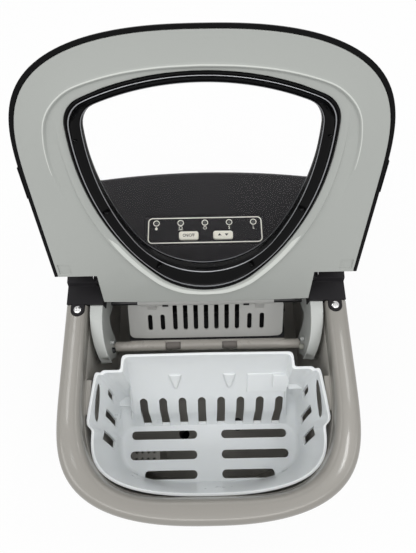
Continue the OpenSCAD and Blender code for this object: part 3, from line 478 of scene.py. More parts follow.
def shown(name: str, data: bpy.types.ID) -> bpy.types.Object:
    """A new object of the scene.

    Args:
        name: Its name.
        data: Its mesh, light or camera.

    Returns:
        The object, linked to the scene.
    """
    made = bpy.data.objects.new(name, data)
    bpy.context.scene.collection.objects.link(made)
    return made


def as_object(bm: Mesh, name: str) -> bpy.types.Object:
    """Writes a bmesh to a new object and frees it.

    Args:
        bm: The mesh to write.
        name: The object's name.

    Returns:
        The object.
    """
    mesh = bpy.data.meshes.new(name)
    bm.to_mesh(mesh)
    bm.free()
    return shown(name, mesh)


def settled(thing: bpy.types.Object) -> bpy.types.Mesh:
    """An object's mesh as it is once its modifiers and its text are worked out."""
    bpy.context.view_layer.update()
    return bpy.data.meshes.new_from_object(thing.evaluated_get(bpy.context.evaluated_depsgraph_get()))


class Workshop:
    """Turns finished bmeshes into pieces that ride on the CAD bodies."""

    def piece(self, bm: Mesh, name: str, finish: "Finish", body: str, slot: str, nodes: Sequence[str] = (),
              place: Matrix | None = None, soften: float = 0.0, segments: int = 2,
              cut: Mesh | None = None) -> None:
        """Finishes a mesh as a named piece, at the origin, with its place in its mesh.

        Args:
            bm: The shape in millimetres, freed here.
            name: Name of the piece.
            finish: Its finish.
            body: The CAD body that it rides on.
            slot: The record's material slot; not used.
            nodes: CAD nodes that it stands for.
            place: Where the shape goes, in millimetres.
            soften: Radius of its edges, in millimetres.
            segments: Steps across each rounded edge.
            cut: A shape to take away, freed here.
        """
        bmesh.ops.remove_doubles(bm, verts=bm.verts, dist=1e-4)
        bmesh.ops.recalc_face_normals(bm, faces=bm.faces)
        piece = as_object(bm, name)
        if cut is not None:
            self.carve(piece, cut)
        shape = bmesh.new()
        shape.from_mesh(piece.data)
        if place is not None:
            bmesh.ops.transform(shape, matrix=place, verts=shape.verts)
        bmesh.ops.scale(shape, vec=(MM, MM, MM), verts=shape.verts)
        sharpen(shape)
        shape.to_mesh(piece.data)
        shape.free()
        piece.data.materials.append(finish.material())
        if soften:
            self.round_edges(piece, soften * MM, segments)
        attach(piece, body)
        if nodes:
            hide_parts(*nodes)
        LOG.info("%s: %d faces on %s", name, len(piece.data.polygons), body)

    def carve(self, piece: bpy.types.Object, cutter: Mesh) -> None:
        """Takes a shape away from a piece and keeps the result as its mesh.

        Args:
            piece: What is cut.
            cutter: The shape that is taken away.
        """
        bmesh.ops.recalc_face_normals(cutter, faces=cutter.faces)
        tool = as_object(cutter, piece.name + "_cutter")
        taken = piece.modifiers.new("cut", "BOOLEAN")
        taken.operation, taken.solver, taken.object = "DIFFERENCE", "EXACT", tool
        taken.use_self = True
        result = settled(piece)
        piece.modifiers.clear()
        piece.data = result
        bpy.data.objects.remove(tool)

    def round_edges(self, piece: bpy.types.Object, width: float, segments: int) -> None:
        """Rounds a piece's sharp edges with a live bevel, in metres.

        Args:
            piece: What is rounded.
            width: The bevel's width in metres.
            segments: Its steps.
        """
        bevel = piece.modifiers.new("rounded edges", "BEVEL")
        bevel.width, bevel.segments = width, segments
        bevel.limit_method, bevel.angle_limit = "ANGLE", SMOOTH_BELOW
        bevel.use_clamp_overlap = False
        bevel.harden_normals = True

    def welded(self, node: str) -> Mesh:
        """A CAD node's mesh in millimetres, welded and with its flat faces joined.

        Args:
            node: The node's name.

        Returns:
            The mesh.
        """
        bm = bmesh.new()
        bm.from_mesh(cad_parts[node].data)
        bmesh.ops.remove_doubles(bm, verts=bm.verts, dist=2e-6)
        bmesh.ops.dissolve_limit(bm, angle_limit=0.004, verts=bm.verts, edges=bm.edges)
        bmesh.ops.scale(bm, vec=(1 / MM,) * 3, verts=bm.verts)
        return bm


# ---------------------------------------------------------------- finishes


def feed(made: bpy.types.Node, feeds: dict[str | int, object]) -> None:
    """Gives a shader node's inputs what they take.

    Args:
        made: The node.
        feeds: A socket to link or a value to type for each input.
    """
    for label, value in feeds.items():
        if isinstance(value, bpy.types.NodeSocket):
            made.id_data.links.new(value, made.inputs[label])
        else:
            made.inputs[label].default_value = value


def node(tree: Tree, kind: str, feeds: dict[str | int, object], **settings: object) -> bpy.types.Node:
    """Adds a shader node to a tree.

    Args:
        tree: The tree.
        kind: The node's type, without the word ShaderNode.
        feeds: What its inputs take.
        settings: Its own settings.

    Returns:
        The node.
    """
    made = tree.nodes.new("ShaderNode" + kind)
    for label, value in settings.items():
        setattr(made, label, value)
    feed(made, feeds)
    return made


def maths(tree: Tree, how: str, *terms: object) -> bpy.types.NodeSocket:
    """The outcome of a maths node over linked or typed terms."""
    return node(tree, "Math", dict(enumerate(terms)), operation=how).outputs[0]


def noise(tree: Tree, vector: object, scale: object, detail: float) -> bpy.types.NodeSocket:
    """The outcome of a noise texture fed by a vector, with its scale typed or linked."""
    return node(tree, "TexNoise", {"Detail": detail, "Vector": vector, "Scale": scale}).outputs["Fac"]


class Effect(Enum):
    """The shared surface effects, each a shader node group built once."""

    GRAIN = "moulded grain"
    DRIFT = "colour drift"
    HANDLING = "handling marks"
    HAIRLINES = "hairline scratches"


class EffectShelf:
    """Builds each shared shader node group once and hands it out."""

    def __init__(self) -> None:
        """Starts with no group built."""
        self.built: dict[Effect, Tree] = {}

    def get(self, effect: Effect) -> Tree:
        """The node group for an effect.

        Args:
            effect: Which effect.

        Returns:
            Its group, made at the first call.
        """
        if effect not in self.built:
            makers = {Effect.GRAIN: self.grain, Effect.DRIFT: self.drift,
                      Effect.HANDLING: self.handling, Effect.HAIRLINES: self.hairlines}
            self.built[effect] = makers[effect](effect.value)
        return self.built[effect]

    def group(self, name: str, output: tuple[str, str], **inputs: str) -> tuple:
        """An empty group with its sockets.

        Args:
            name: Name of the group.
            output: Name and type of its one output.
            inputs: Types of its other inputs than the vector, under their names.

        Returns:
            The tree, the sockets that its inputs come in on, and the node that its output goes to.
        """
        tree = bpy.data.node_groups.new(name, "ShaderNodeTree")
        for label, kind in {"Vector": "Vector", **inputs}.items():
            tree.interface.new_socket(label, in_out="INPUT", socket_type="NodeSocket" + kind)
        tree.interface.new_socket(output[0], in_out="OUTPUT", socket_type="NodeSocket" + output[1])
        return tree, tree.nodes.new("NodeGroupInput").outputs, tree.nodes.new("NodeGroupOutput")

    def grain(self, name: str) -> Tree:
        """Fine moulded texture: two sizes of noise as one height.

        Args:
            name: The group's name.

        Returns:
            The group.
        """
        tree, source, sink = self.group(name, ("Height", "Float"), Scale="Float")
        fine = noise(tree, source["Vector"], source["Scale"], 2.0)
        broad = noise(tree, source["Vector"], maths(tree, "MULTIPLY", source["Scale"], 0.02), 1.0)
        feed(sink, {"Height": maths(tree, "ADD", fine, maths(tree, "MULTIPLY", broad, 1.5))})
        return tree

    def drift(self, name: str) -> Tree:
        """Slow change of a colour's lightness over a surface.

        Args:
            name: The group's name.

        Returns:
            The group.
        """
        tree, source, sink = self.group(name, ("Colour", "Color"),
                                        Colour="Color", Scale="Float", Amount="Float")
        centred = maths(tree, "SUBTRACT", noise(tree, source["Vector"], source["Scale"], 4.0), 0.5)
        value = maths(tree, "MULTIPLY_ADD", centred, source["Amount"], 1.0)
        tint = node(tree, "HueSaturation", {"Value": value, "Color": source["Colour"]})
        feed(sink, {"Colour": tint.outputs["Color"]})
        return tree

    def handling(self, name: str) -> Tree:
        """Roughness with soft smudges left by hands and wiping.

        Args:
            name: The group's name.

        Returns:
            The group.
        """
        tree, source, sink = self.group(name, ("Roughness", "Float"), Roughness="Float", Spread="Float")
        smears, specks = (noise(tree, source["Vector"], *kind) for kind in ((22.0, 6.0), (240.0, 3.0)))
        centred = maths(tree, "SUBTRACT", maths(tree, "MULTIPLY_ADD", specks, 0.35, smears), 0.66)
        rough = maths(tree, "MULTIPLY_ADD", centred, source["Spread"], source["Roughness"])
        feed(sink, {"Roughness": maths(tree, "MAXIMUM", rough, 0.03)})
        return tree

    def hairlines(self, name: str) -> Tree:
        """A mask of fine scratches that run in two directions.

        Args:
            name: The group's name.

        Returns:
            The group.
        """
        tree, source, sink = self.group(name, ("Mask", "Float"), Density="Float")
        masks = []
        for turn in (0.5, -0.9):
            mapping = node(tree, "Mapping", {"Vector": source["Vector"], "Scale": (900.0, 14.0, 14.0),
                                             "Rotation": (turn, turn * 0.7, turn * 1.9)})
            lines = noise(tree, mapping.outputs["Vector"], 1.0, 1.0)
            masks.append(maths(tree, "GREATER_THAN", lines, maths(tree, "SUBTRACT", 0.9, source["Density"])))
        feed(sink, {"Mask": maths(tree, "MAXIMUM", *masks)})
        return tree


EFFECTS = EffectShelf()


def linear(rgb: Sequence[int]) -> tuple[float, float, float, float]:
    """An sRGB colour of 0 to 255 as a linear one."""
    parts = [c / 255 for c in rgb]
    return (*(c / 12.92 if c <= 0.04045 else ((c + 0.055) / 1.055) ** 2.4 for c in parts), 1.0)


@dataclass(frozen=True)
class Finish:
    """One surface finish: its colour, gloss, grain and marks."""

    name: str
    colour: tuple[int, int, int]
    roughness: float
    spread: float
    drift: float
    grain: float
    bump: float
    metallic: float = 0.0
    coat: float = 0.0
    hairlines: float = 0.0
    line_colour: tuple[int, int, int] = (200, 200, 200)
    transmission: float = 0.0
    ior: float = 1.46
    subsurface: float = 0.0
    specular: float = 0.5

    def material(self) -> bpy.types.Material:
        """Builds the finish once and returns its material.

        Returns:
            The material.
        """
        found = bpy.data.materials.get(self.name)
        if found is not None:
            return found
        made = bpy.data.materials.new(self.name)
        made.use_nodes = True
        tree = made.node_tree
        place = node(tree, "TexCoord", {}).outputs["Object"]
        base = self.effect(place, Effect.DRIFT, Colour=linear(self.colour), Scale=9.0, Amount=self.drift * 2)
        if self.hairlines:
            lines = maths(tree, "MULTIPLY",
                          self.effect(place, Effect.HAIRLINES, Density=self.hairlines), 0.18)
            base = node(tree, "Mix", {"B": linear(self.line_colour), "A": base, "Factor": lines},
                        data_type="RGBA").outputs["Result"]
        height = self.effect(place, Effect.GRAIN, Scale=self.grain)
        shader = tree.nodes["Principled BSDF"]
        feed(shader, {
            "Base Color": base, "Metallic": self.metallic, "IOR": self.ior,
            "Roughness": self.effect(place, Effect.HANDLING, Roughness=self.roughness, Spread=self.spread),
            "Normal": node(tree, "Bump", {"Strength": self.bump, "Distance": 0.0004,
                                          "Height": height}).outputs[0],
            "Specular IOR Level": self.specular, "Coat Weight": self.coat, "Coat Roughness": 0.08,
            "Transmission Weight": self.transmission})
        if self.subsurface:
            feed(shader, {"Subsurface Weight": self.subsurface, "Subsurface Radius": (0.004, 0.004, 0.005)})
        return made

    def effect(self, place: bpy.types.NodeSocket, effect: Effect, **values: object) -> bpy.types.NodeSocket:
        """Places a shared effect in the material of place, with its own values.

        Args:
            place: The material's object coordinates.
            effect: Which effect.
            values: What its inputs take.

        Returns:
            The effect's output.
        """
        made = node(place.id_data, "Group", {}, node_tree=EFFECTS.get(effect))
        feed(made, {"Vector": place, **values})
        return made.outputs[0]


@dataclass(frozen=True)
class Palette:
    """Every finish on the ice maker."""

    frame: Finish = Finish("silver beige frame", (139, 136, 130), 0.3, 0.06, 0.02, 2600, 0.006, 0.15, 0.4)
    shell: Finish = Finish("silver beige shell", (139, 136, 130), 0.32, 0.06, 0.03, 2600, 0.01, 0.15, 0.4)
    gloss_black: Finish = Finish("gloss black cover", (7, 7, 8), 0.14, 0.12, 0.1, 700, 0.02, 0, 0,
                                 0.045, (60, 60, 64), specular=0.12)
    charcoal: Finish = Finish("charcoal cover", (34, 33, 35), 0.42, 0.12, 0.12, 2400, 0.03, 0, 0, 0.04,
                              (80, 80, 82), specular=0.12)
    hinge_black: Finish = Finish("hinge black", (5, 5, 6), 0.34, 0.16, 0.12, 1500, 0.05, specular=0.03)
    pan: Finish = Finish("dark pan", (36, 36, 38), 0.55, 0.12, 0.12, 1200, 0.12, specular=0.3)
    rubber: Finish = Finish("foot rubber", (17, 17, 17), 0.75, 0.1, 0.15, 1600, 0.18, specular=0.3)
    # Painted highlight: a lighter copy of the liner grey, laid as thin beads where light catches the lip
    # round the ring and the crease.
    lip: Finish = Finish("painted highlight lip", (204, 207, 202), 0.32, 0.1, 0.03, 1500, 0.03)
    liner: Finish = Finish("pale grey liner", (167, 170, 166), 0.42, 0.12, 0.035, 1500, 0.04)
    tank: Finish = Finish("tank grey", (178, 175, 169), 0.42, 0.16, 0.08, 1200, 0.06)
    works: Finish = Finish("works grey", (191, 191, 188), 0.36, 0.14, 0.05, 1300, 0.05)
    bar: Finish = Finish("tray grey", (204, 199, 191), 0.28, 0.12, 0.05, 1300, 0.04, 0.05, 0.3)
    neck: Finish = Finish("tray neck grey", (140, 134, 129), 0.4, 0.12, 0.06, 1300, 0.04)
    arm: Finish = Finish("arm grey", (186, 189, 186), 0.34, 0.12, 0.04, 1300, 0.04)
    basket: Finish = Finish("basket white", (230, 233, 234), 0.3, 0.14, 0.03, 1100, 0.04, 0, 0.15,
                            subsurface=0.12)
    clear: Finish = Finish("clear window", (255, 255, 255), 0.03, 0.03, 0.0, 500, 0.01, transmission=1.0,
                           ior=1.1)
    lens: Finish = Finish("frosted lens", (206, 206, 196), 0.3, 0.1, 0.04, 900, 0.04, transmission=0.4)
    lens_dark: Finish = Finish("lens dome", (60, 62, 60), 0.14, 0.08, 0.1, 900, 0.03, 0, 0.4)
    ink: Finish = Finish("cream print", (226, 225, 214), 0.45, 0.1, 0.05, 1500, 0.05)
    dark_ink: Finish = Finish("dark print", (30, 30, 30), 0.5, 0.1, 0.1, 1500, 0.05)
    cream: Finish = Finish("cream button", (214, 212, 200), 0.36, 0.14, 0.04, 1200, 0.05, 0, 0.1)
    steel: Finish = Finish("bright steel", (196, 196, 196), 0.24, 0.16, 0.08, 700, 0.06, 1.0, 0.0, 0.05)
    zinc: Finish = Finish("zinc plate", (150, 151, 154), 0.38, 0.2, 0.14, 500, 0.1, 1.0, 0.0, 0.05)
    aluminium: Finish = Finish("mill aluminium", (200, 202, 204), 0.32, 0.18, 0.08, 600, 0.08, 1.0, 0.0, 0.06)
    copper: Finish = Finish("copper tube", (188, 116, 82), 0.3, 0.24, 0.2, 400, 0.08, 1.0, 0.0, 0.05,
                            (120, 80, 60))
    enamel: Finish = Finish("black enamel", (20, 20, 22), 0.3, 0.16, 0.1, 500, 0.1, 0, 0.3)
    board: Finish = Finish("circuit board", (22, 78, 44), 0.35, 0.12, 0.14, 500, 0.1, 0, 0.3)
    foam: Finish = Finish("white foam", (232, 232, 226), 0.8, 0.1, 0.05, 260, 0.4)
    hose: Finish = Finish("silicone hose", (206, 208, 204), 0.32, 0.12, 0.05, 600, 0.05, transmission=0.35)
    # Painted shade: near-black finish for blocks that stand in for shadow in gaps and holes.
    painted_gap_shade: Finish = Finish("seam shadow", (10, 10, 11), 0.5, 0.1, 0.1, 900, 0.03)


PALETTE = Palette()
CASING = Casing()
SHOP = Workshop()


# ---------------------------------------------------------------- casing


@dataclass
class TopFrame:
    """The rounded band round the tank's mouth, which the lid closes on."""

    edge_r: float = 5.5
    mouth_r: float = 5.0
    ear_x: float = 109.75
    ear_y: float = 17.7
    ear_r: float = 5.9
    ear_depth: float = 1.9
    joint: float = 0.3
    steps: int = 8

    def build(self) -> None:
        """Sweeps the band's section round the body and cuts the ears' pockets."""
        c, rear, top = CASING, 60.0, CASING.rim_z
        fan = Fan((0.0, -20.0), 220, [(c.width / 2, rear), (-c.width / 2, rear)])
        rounds = [math.radians(90 * i / self.steps) for i in range(self.steps + 1)]
        section = [(c.plan, 0.0, top - c.frame_h)]
        section += [(c.plan, self.edge_r * (1 - math.cos(a)), top - self.edge_r * (1 - math.sin(a)))
                    for a in rounds]
        section += [(c.cavity, -self.mouth_r * (1 - math.sin(a)), top - self.mouth_r * (1 - math.cos(a)))
                    for a in rounds]
        section.append((c.cavity, 0.0, top - c.frame_h))
        band = Skin().tube(at_height(fan.on(plan(inset, rear if plan == c.plan else rear - c.band_w)), z)
                           for plan, inset, z in section)
        cut_y = c.block_y - self.joint
        slit(band, (0, cut_y, 0), (0, 1, 0), clear_outer=True)
        pockets = bmesh.new()
        for x in (-self.ear_x, self.ear_x):
            tongue = arc((x, self.ear_y), self.ear_r, 180, 360, 24)
            tongue += [(x + self.ear_r, cut_y + 5), (x - self.ear_r, cut_y + 5)]
            prism(pockets, tongue, top - self.ear_depth, top + 3)
        SHOP.piece(band, "rim_frame", PALETTE.frame, "housing", "frame_beige", ("top_frame",), soften=0.25,
                   cut=pockets)


@dataclass
class ControlFace:
    """The printed panel, its buttons and its indicator lenses."""

    top_z: float = 316.1
    ink_t: float = 0.05
    button_z: float = 317.4
    button_y: float = 77.5
    button_xs: tuple[float, float] = (-14.1, 15.5)
    button_w: float = 17.0
    button_d: float = 8.0
    led_y: float = 89.8
    led_pitch: float = 21.1
    led_r: float = 2.05
    mark_y: float = 84.9
    frame_y: float = 82.8
    frame_w: float = 99.0
    frame_d: float = 24.6
    line_w: float = 0.95

    def build(self) -> None:
        """Builds the panel's print, buttons and lenses."""
        self.print_lines()
        self.lenses()
        for name, x in zip(("power_key", "select_key"), self.button_xs):
            self.button(name, x)
        x, y, z = self.button_xs[1], self.button_y, self.button_z
        self.lettering("ON/OFF", self.button_xs[0], y - 1.45, 4.0, z, "power_key_mark", PALETTE.dark_ink,
                       "power_key")
        marks = bmesh.new()
        prism(marks, [(x - 4.7, y - 0.9), (x - 1.3, y - 0.9), (x - 3.0, y + 1.3)], z, z + 0.04)
        prism(marks, [(x + 3.0, y - 1.3), (x + 4.7, y + 0.9), (x + 1.3, y + 0.9)], z, z + 0.04)
        SHOP.piece(marks, "select_key_mark", PALETTE.dark_ink, "select_key", "panel_print")

    def button(self, name: str, x: float) -> None:
        """A cream key with a pillowed top, at x.

        Args:
            name: The key's name.
            x: Its middle across.
        """
        levels = [(0.0, -4.4), (0.0, -0.9), (0.25, -0.35), (0.8, -0.05), (2.2, 0.0)]
        key = Skin().solid(at_height(rounded_box(x, self.button_y, self.button_w - 2 * inset,
                                                 self.button_d - 2 * inset, max(2.2 - inset, 0.4)),
                                     self.button_z + z) for inset, z in levels)
        SHOP.piece(key, name, PALETTE.cream, name, "button_cream", (name.replace("key", "button"),))

    def lettering(self, text: str, x: float, y: float, size: float, z: float, name: str, finish: Finish,
                  body: str) -> None:
        """Generic raised letters, made a mesh and laid on a level face.

        Args:
            text: The letters.
            x: Middle of the word.
            y: Foot of the letters.
            size: Height of the letters.
            z: Level of the face.
            name: Name of the piece.
            finish: The ink.
            body: The body that it rides on.
        """
        curve = bpy.data.curves.new(name, "FONT")
        curve.body, curve.align_x, curve.size = text, "CENTER", size
        curve.extrude, curve.offset = 0.02, 0.09
        holder = shown(name + "_text", curve)
        bm = bmesh.new()
        bm.from_mesh(settled(holder))
        bpy.data.objects.remove(holder)
        bmesh.ops.scale(bm, vec=(0.7, 1.0, 1.0), verts=bm.verts)
        bmesh.ops.translate(bm, vec=(x, y, z + 0.02), verts=bm.verts)
        SHOP.piece(bm, name, finish, body, "panel_print")

    def print_lines(self) -> None:
        """The cream frame, the lens rings and the small marks under them."""
        ink = bmesh.new()
        z0, z1 = self.top_z, self.top_z + self.ink_t
        outer, inner = (rounded_box(0, self.frame_y, self.frame_w - w, self.frame_d - w, r)
                        for w, r in ((0, 4.0), (2 * self.line_w, 3.2)))
        self.band(ink, outer, inner, z0, z1)
        for i in range(-2, 3):
            outer, inner = (arc((i * self.led_pitch, self.led_y), r, 0, 352, 44) for r in (2.8, 2.2))
            self.band(ink, outer, inner, z0, z1 + 0.35)
        x, y = -self.led_pitch, self.mark_y
        prism(ink, arc((2 * x, y - 0.4), 1.2, -215, 35, 20) + [(2 * x, y + 1.7)], z0, z1)
        self.band(ink, rounded_box(x, y + 0.2, 2.9, 2.9, 0.5, 3),
                  rounded_box(x, y + 0.2, 2.1, 2.1, 0.3, 3), z0, z1)
        prism(ink, [(x - 2.2, y - 1.9), (x + 2.2, y - 1.9), (x + 2.2, y - 1.6), (x - 2.2, y - 1.6)], z0, z1)
        self.band(ink, arc((0, y), 1.55, 120, 420, 30), arc((0, y), 1.2, 120, 420, 30), z0, z1)
        block(ink, (-0.2, y - 0.1, z0), (0.2, y + 1.7, z1))
        SHOP.piece(ink, "panel_print_lines", PALETTE.ink, "housing", "panel_print")
        for i, (letter, name) in enumerate((("S", "small_size_mark"), ("L", "large_size_mark"))):
            self.lettering(letter, (i + 1) * self.led_pitch, y - 1.6, 4.4, z0, name, PALETTE.ink, "housing")

    def band(self, bm: Mesh, outer: Loop, inner: Loop, low: float, high: float) -> None:
        """Adds a thin printed band between two outlines of as many points."""
        Skin(bm).start(at_height(outer, low)).grow(at_height(outer, high), at_height(inner, high),
                                                   at_height(inner, low))

    def lenses(self) -> None:
        """Domed lenses in their rings."""
        bm = bmesh.new()
        levels = ((1.0, -10.35), (1.0, -0.2), (0.86, 0.15), (0.6, 0.37), (0.25, 0.47))
        for x in (i * self.led_pitch for i in range(-2, 3)):
            Skin(bm).solid(at_height(arc((x, self.led_y), self.led_r * share, 0, 345, 23), self.top_z + z)
                           for share, z in levels)
        SHOP.piece(bm, "indicator_domes", PALETTE.lens_dark, "housing", "lens", ("indicator_lenses",))


# ---------------------------------------------------------------- lid


@dataclass
class Lid:
    """The lid: its outer cover, pale liner, window ring and fittings, in its own frame."""

    over: float = 1.0
    wall: float = 2.5
    crown: float = 6.5
    rear_y: float = 5.5
    corner_s: float = 11.0
    tongue_half: float = 87.5
    tongue_s: float = -20.9
    tongue_bow: float = 1.8
    fold_s: float = 3.0
    fold_rise: float = 0.075
    liner_t: float = 2.0
    liner_gap: float = 0.3
    step_depth: float = 0.8
    lip_w: float = 7.6
    ring: Shield = Shield(-6.8, 52, 169.3, (65.75, 135.0), 19.1, 167.3)
    clear: Shield = Shield(13, 60, 168.6, (58.3, 133.05), 16.2, 159.6)
    centre: Point = (0.0, -75.0)
    screws: tuple[Point, ...] = ((37.4, 161.2), (80.8, 126.6), (69.2, 71.6), (36.5, 19.6))

    def build(self) -> None:
        """Builds every piece of the lid."""
        self.cover()
        self.liner()
        self.knuckles()
        self.window_ring()
        self.ring_bosses()
        self.window()

    def piece(self, bm: Mesh, name: str, finish: Finish, nodes: Sequence[str] = (), slot: str = "black_cover",
              **look: object) -> None:
        """Finishes a piece laid out in the lid's own frame, and swings it open with the lid."""
        SHOP.piece(bm, name, finish, "lid", slot, nodes, CASING.open_lid(), **look)

    def cover(self) -> None:
        """The glossy outer cover, a shallow dome with the window's opening."""
        c, edge = CASING, CASING.width / 2 + self.over
        fan = Fan((0.0, -70.0), 240, [(edge, self.rear_y), (-edge, self.rear_y)])
        outside = [(-self.over, -c.lid_drop), (-0.9, -11.0), (-0.35, -8.5), (1.2, -5.5), (3.8, -2.2),
                   (7.0, 0.1), (11.0, 2.1), (16.0, 3.7), (22.0, 4.9), (30.0, 5.8), (40.0, self.crown)]
        inside = [(40.0, self.crown - self.wall), (26.0, 2.8), (16.0, 1.1), (9.5, -1.4), (4.8, -4.8),
                  (2.7, -7.8), (self.wall - self.over, -c.lid_drop)]
        outer = [at_height(fan.on(c.lid_plan(inset, self.rear_y - max(inset, 0) * 0.1)), z)
                 for inset, z in outside]
        inner = [at_height(fan.on(c.lid_plan(inset, self.rear_y - self.wall)), z) for inset, z in inside]
        dome = Skin().start(outer[0])
        brim = dome.edges()
        dome.grow(*outer[1:]).cap()
        hollow = Skin(dome.bm).start(inner[0]).cap().grow(*inner[1:])
        bmesh.ops.bridge_loops(dome.bm, edges=brim + hollow.edges())
        cut, grips = bmesh.new(), bmesh.new()
        prism(cut, self.clear.points(4.4), -c.lid_drop, self.crown + 3)
        for sx in SIDES:
            block(cut, (sx * self.tongue_half, -self.corner_s, -20), (sx * 160, 40, 20))
            block(cut, (sx * 73.7, -5.3, -20), (sx * 89.5, 8.0, 4.99))
            block(grips, (sx * (edge - 1), -109, -c.lid_drop), (sx * (edge + 0.6), -85, -5))
        block(cut, (-88.0, -4.5, -20), (88.0, 8.0, -9.2))
        self.piece(dome.bm, "lid_dome", PALETTE.gloss_black, ("lid_cover",), soften=0.4, cut=cut)
        self.piece(grips, "lid_grips", PALETTE.hinge_black, soften=0.5, segments=3)

    def crease(self, grow: float) -> Loop:
        """The line round the wide end where the liner steps down.

        Args:
            grow: How far outwards.

        Returns:
            The closed line.
        """
        top = [(0.0, 169.4), (23.0, 168.6), (46.0, 165.9), (66.0, 161.2), (79.0, 156.2), (89.5, 147.8),
               (95.6, 138.5), (98.4, 128.0), (99.6, 118.0), (99.4, 106.0), (97.0, 92.0), (92.0, 72.0),
               (82.0, 50.0), (68.0, 26.0), (50.0, 2.0), (24.0, -12.0), (0.0, -14.5)]
        return both_sides(pushed(flowing(top, 5), (self.centre[0], -self.centre[1]), grow))

    def lay(self, points: Loop, depth: Callable[[float], float]) -> Ring:
        """A loop on the liner's face, sunk towards the cover by a depth that goes with s."""
        return [(x, y, -CASING.lid_drop + self.fold_rise * max(self.fold_s + y, 0.0) + depth(-y))
                for x, y in points]

    def step(self, s: float) -> float:
        """Depth inside the crease, which fades out down the sides."""
        share = between_0_1((s - 70.0) / 68.0)
        return self.step_depth * share * share * (3 - 2 * share)

    def lip(self, s: float, height: float) -> float:
        """Depth on the lip, which stands proud by height round the ring's lower end."""
        return self.step(s) - height * between_0_1((150.0 - s) / 70.0)

    def liner_outline(self) -> tuple[Loop, Loop]:
        """The liner's outline with its bowed tongue.

        Returns:
            The outline, and the sharp corners of its right half.
        """
        inset, corner_y = self.wall - self.over + self.liner_gap, -self.corner_s
        corner = (CASING.width / 2 - inset, corner_y)
        notch = [(self.tongue_half, corner_y), (self.tongue_half, -self.tongue_s)]
        outline = [p for p in CASING.lid_plan(inset, corner_y) if p[1] < corner_y]
        outline += [(-x, y) for x, y in (corner, *notch)]
        outline += [(x, -self.tongue_s + self.tongue_bow * (1 - (x / self.tongue_half) ** 2))
                    for x in (self.tongue_half * k / 7 for k in range(-6, 7))]
        return [*outline, *reversed(notch), corner], [corner, *notch]

    def liner(self) -> None:
        """The pale liner: stepped round the wide end, with a rounded lip round the ring, and thin beads of
        painted highlight on the lip and along the crease.
        """
        outline, corners = self.liner_outline()
        fan = Fan(self.centre, 300, [(sx * x, y) for sx in SIDES for x, y in corners])
        rim, inner, brink = (fan.on(line) for line in (outline, self.ring.points(0.0), self.crease(-1.7)))
        loops = [self.lay(rim, lambda s: self.liner_t), self.lay(rim, lambda s: 0.3),
                 self.lay(pushed(rim, self.centre, -0.3), lambda s: 0.0)]
        loops += [self.lay(fan.on(self.crease(grow)), lambda s, part=part: part * self.step(s))
                  for grow, part in ((2.9, 0.0), (2.3, -0.2), (1.6, -0.62), (1.0, -0.85), (0.5, -0.7),
                                     (0.0, -0.1), (-0.5, 0.7), (-0.9, 1.0), (-1.7, 1.0))]
        loops += [self.lay(self.off_ring(inner, brink, by), lambda s, up=up: self.lip(s, up))
                  for by, up in ((7.2, 0.0), (6.8, 0.6), (6.3, 1.6), (5.7, 2.25), (5.0, 2.3), (3.6, 1.75),
                                 (2.0, 1.0), (0.8, 0.4), (0.2, 0.0))]
        loops.append(self.lay(inner, lambda s: self.liner_t))
        recess = bmesh.new()
        for sx in SIDES:
            block(recess, (sx * 107.0, -23.5, -14), (sx * 116.6, -14.2, -CASING.lid_drop + 0.9))
        self.piece(Skin().tube(loops), "lid_inner_liner", PALETTE.liner, ("lid_liner",), "grey_liner",
                   soften=0.3, cut=recess)
        # Painted highlights: thin beads in the lighter lip finish, on the lip's crest round the ring and
        # along the crease, where light catches the liner.
        beads = bmesh.new()
        Skin(beads).tube(self.lay(self.off_ring(inner, brink, by),
                                  lambda s, up=up: self.lip(s, up) + min(0.03 * max(s - 22.0, 0.0), 1.3))
                         for by, up in ((5.0, 2.1), (4.7, 2.75), (4.2, 2.85), (3.0, 2.25), (1.9, 1.6),
                                        (1.6, 0.9), (3.4, 0.9)))
        Skin(beads).tube(self.lay(fan.on(self.crease(grow)), lambda s, part=part: part * self.step(s) + 0.16)
                         for grow, part in ((1.8, -0.5), (1.55, -1.05), (1.2, -1.2), (0.9, -1.15),
                                            (0.7, -0.6)))
        self.piece(beads, "liner_painted_highlights", PALETTE.lip, slot="grey_liner")

    def off_ring(self, inner: Loop, brink: Loop, by: float) -> Loop:
        """The ring's edge grown by a distance, though never past its share of the way to the crease."""
        return part_way(inner, brink, lambda gap: min(by, gap * by / self.lip_w) / gap)

    def knuckles(self) -> None:
        """The two knuckles that turn on the hinge's pins."""
        bm = bmesh.new()
        for sx in SIDES:
            rod(bm, (sx * 74.0, 0, 0), (sx * self.tongue_half, 0, 0), 5.0, 40)
            block(bm, (sx * 74.0, -3, -11), (sx * self.tongue_half, 3, 0))
        self.piece(bm, "lid_knuckles", PALETTE.liner, slot="grey_liner", soften=0.3)

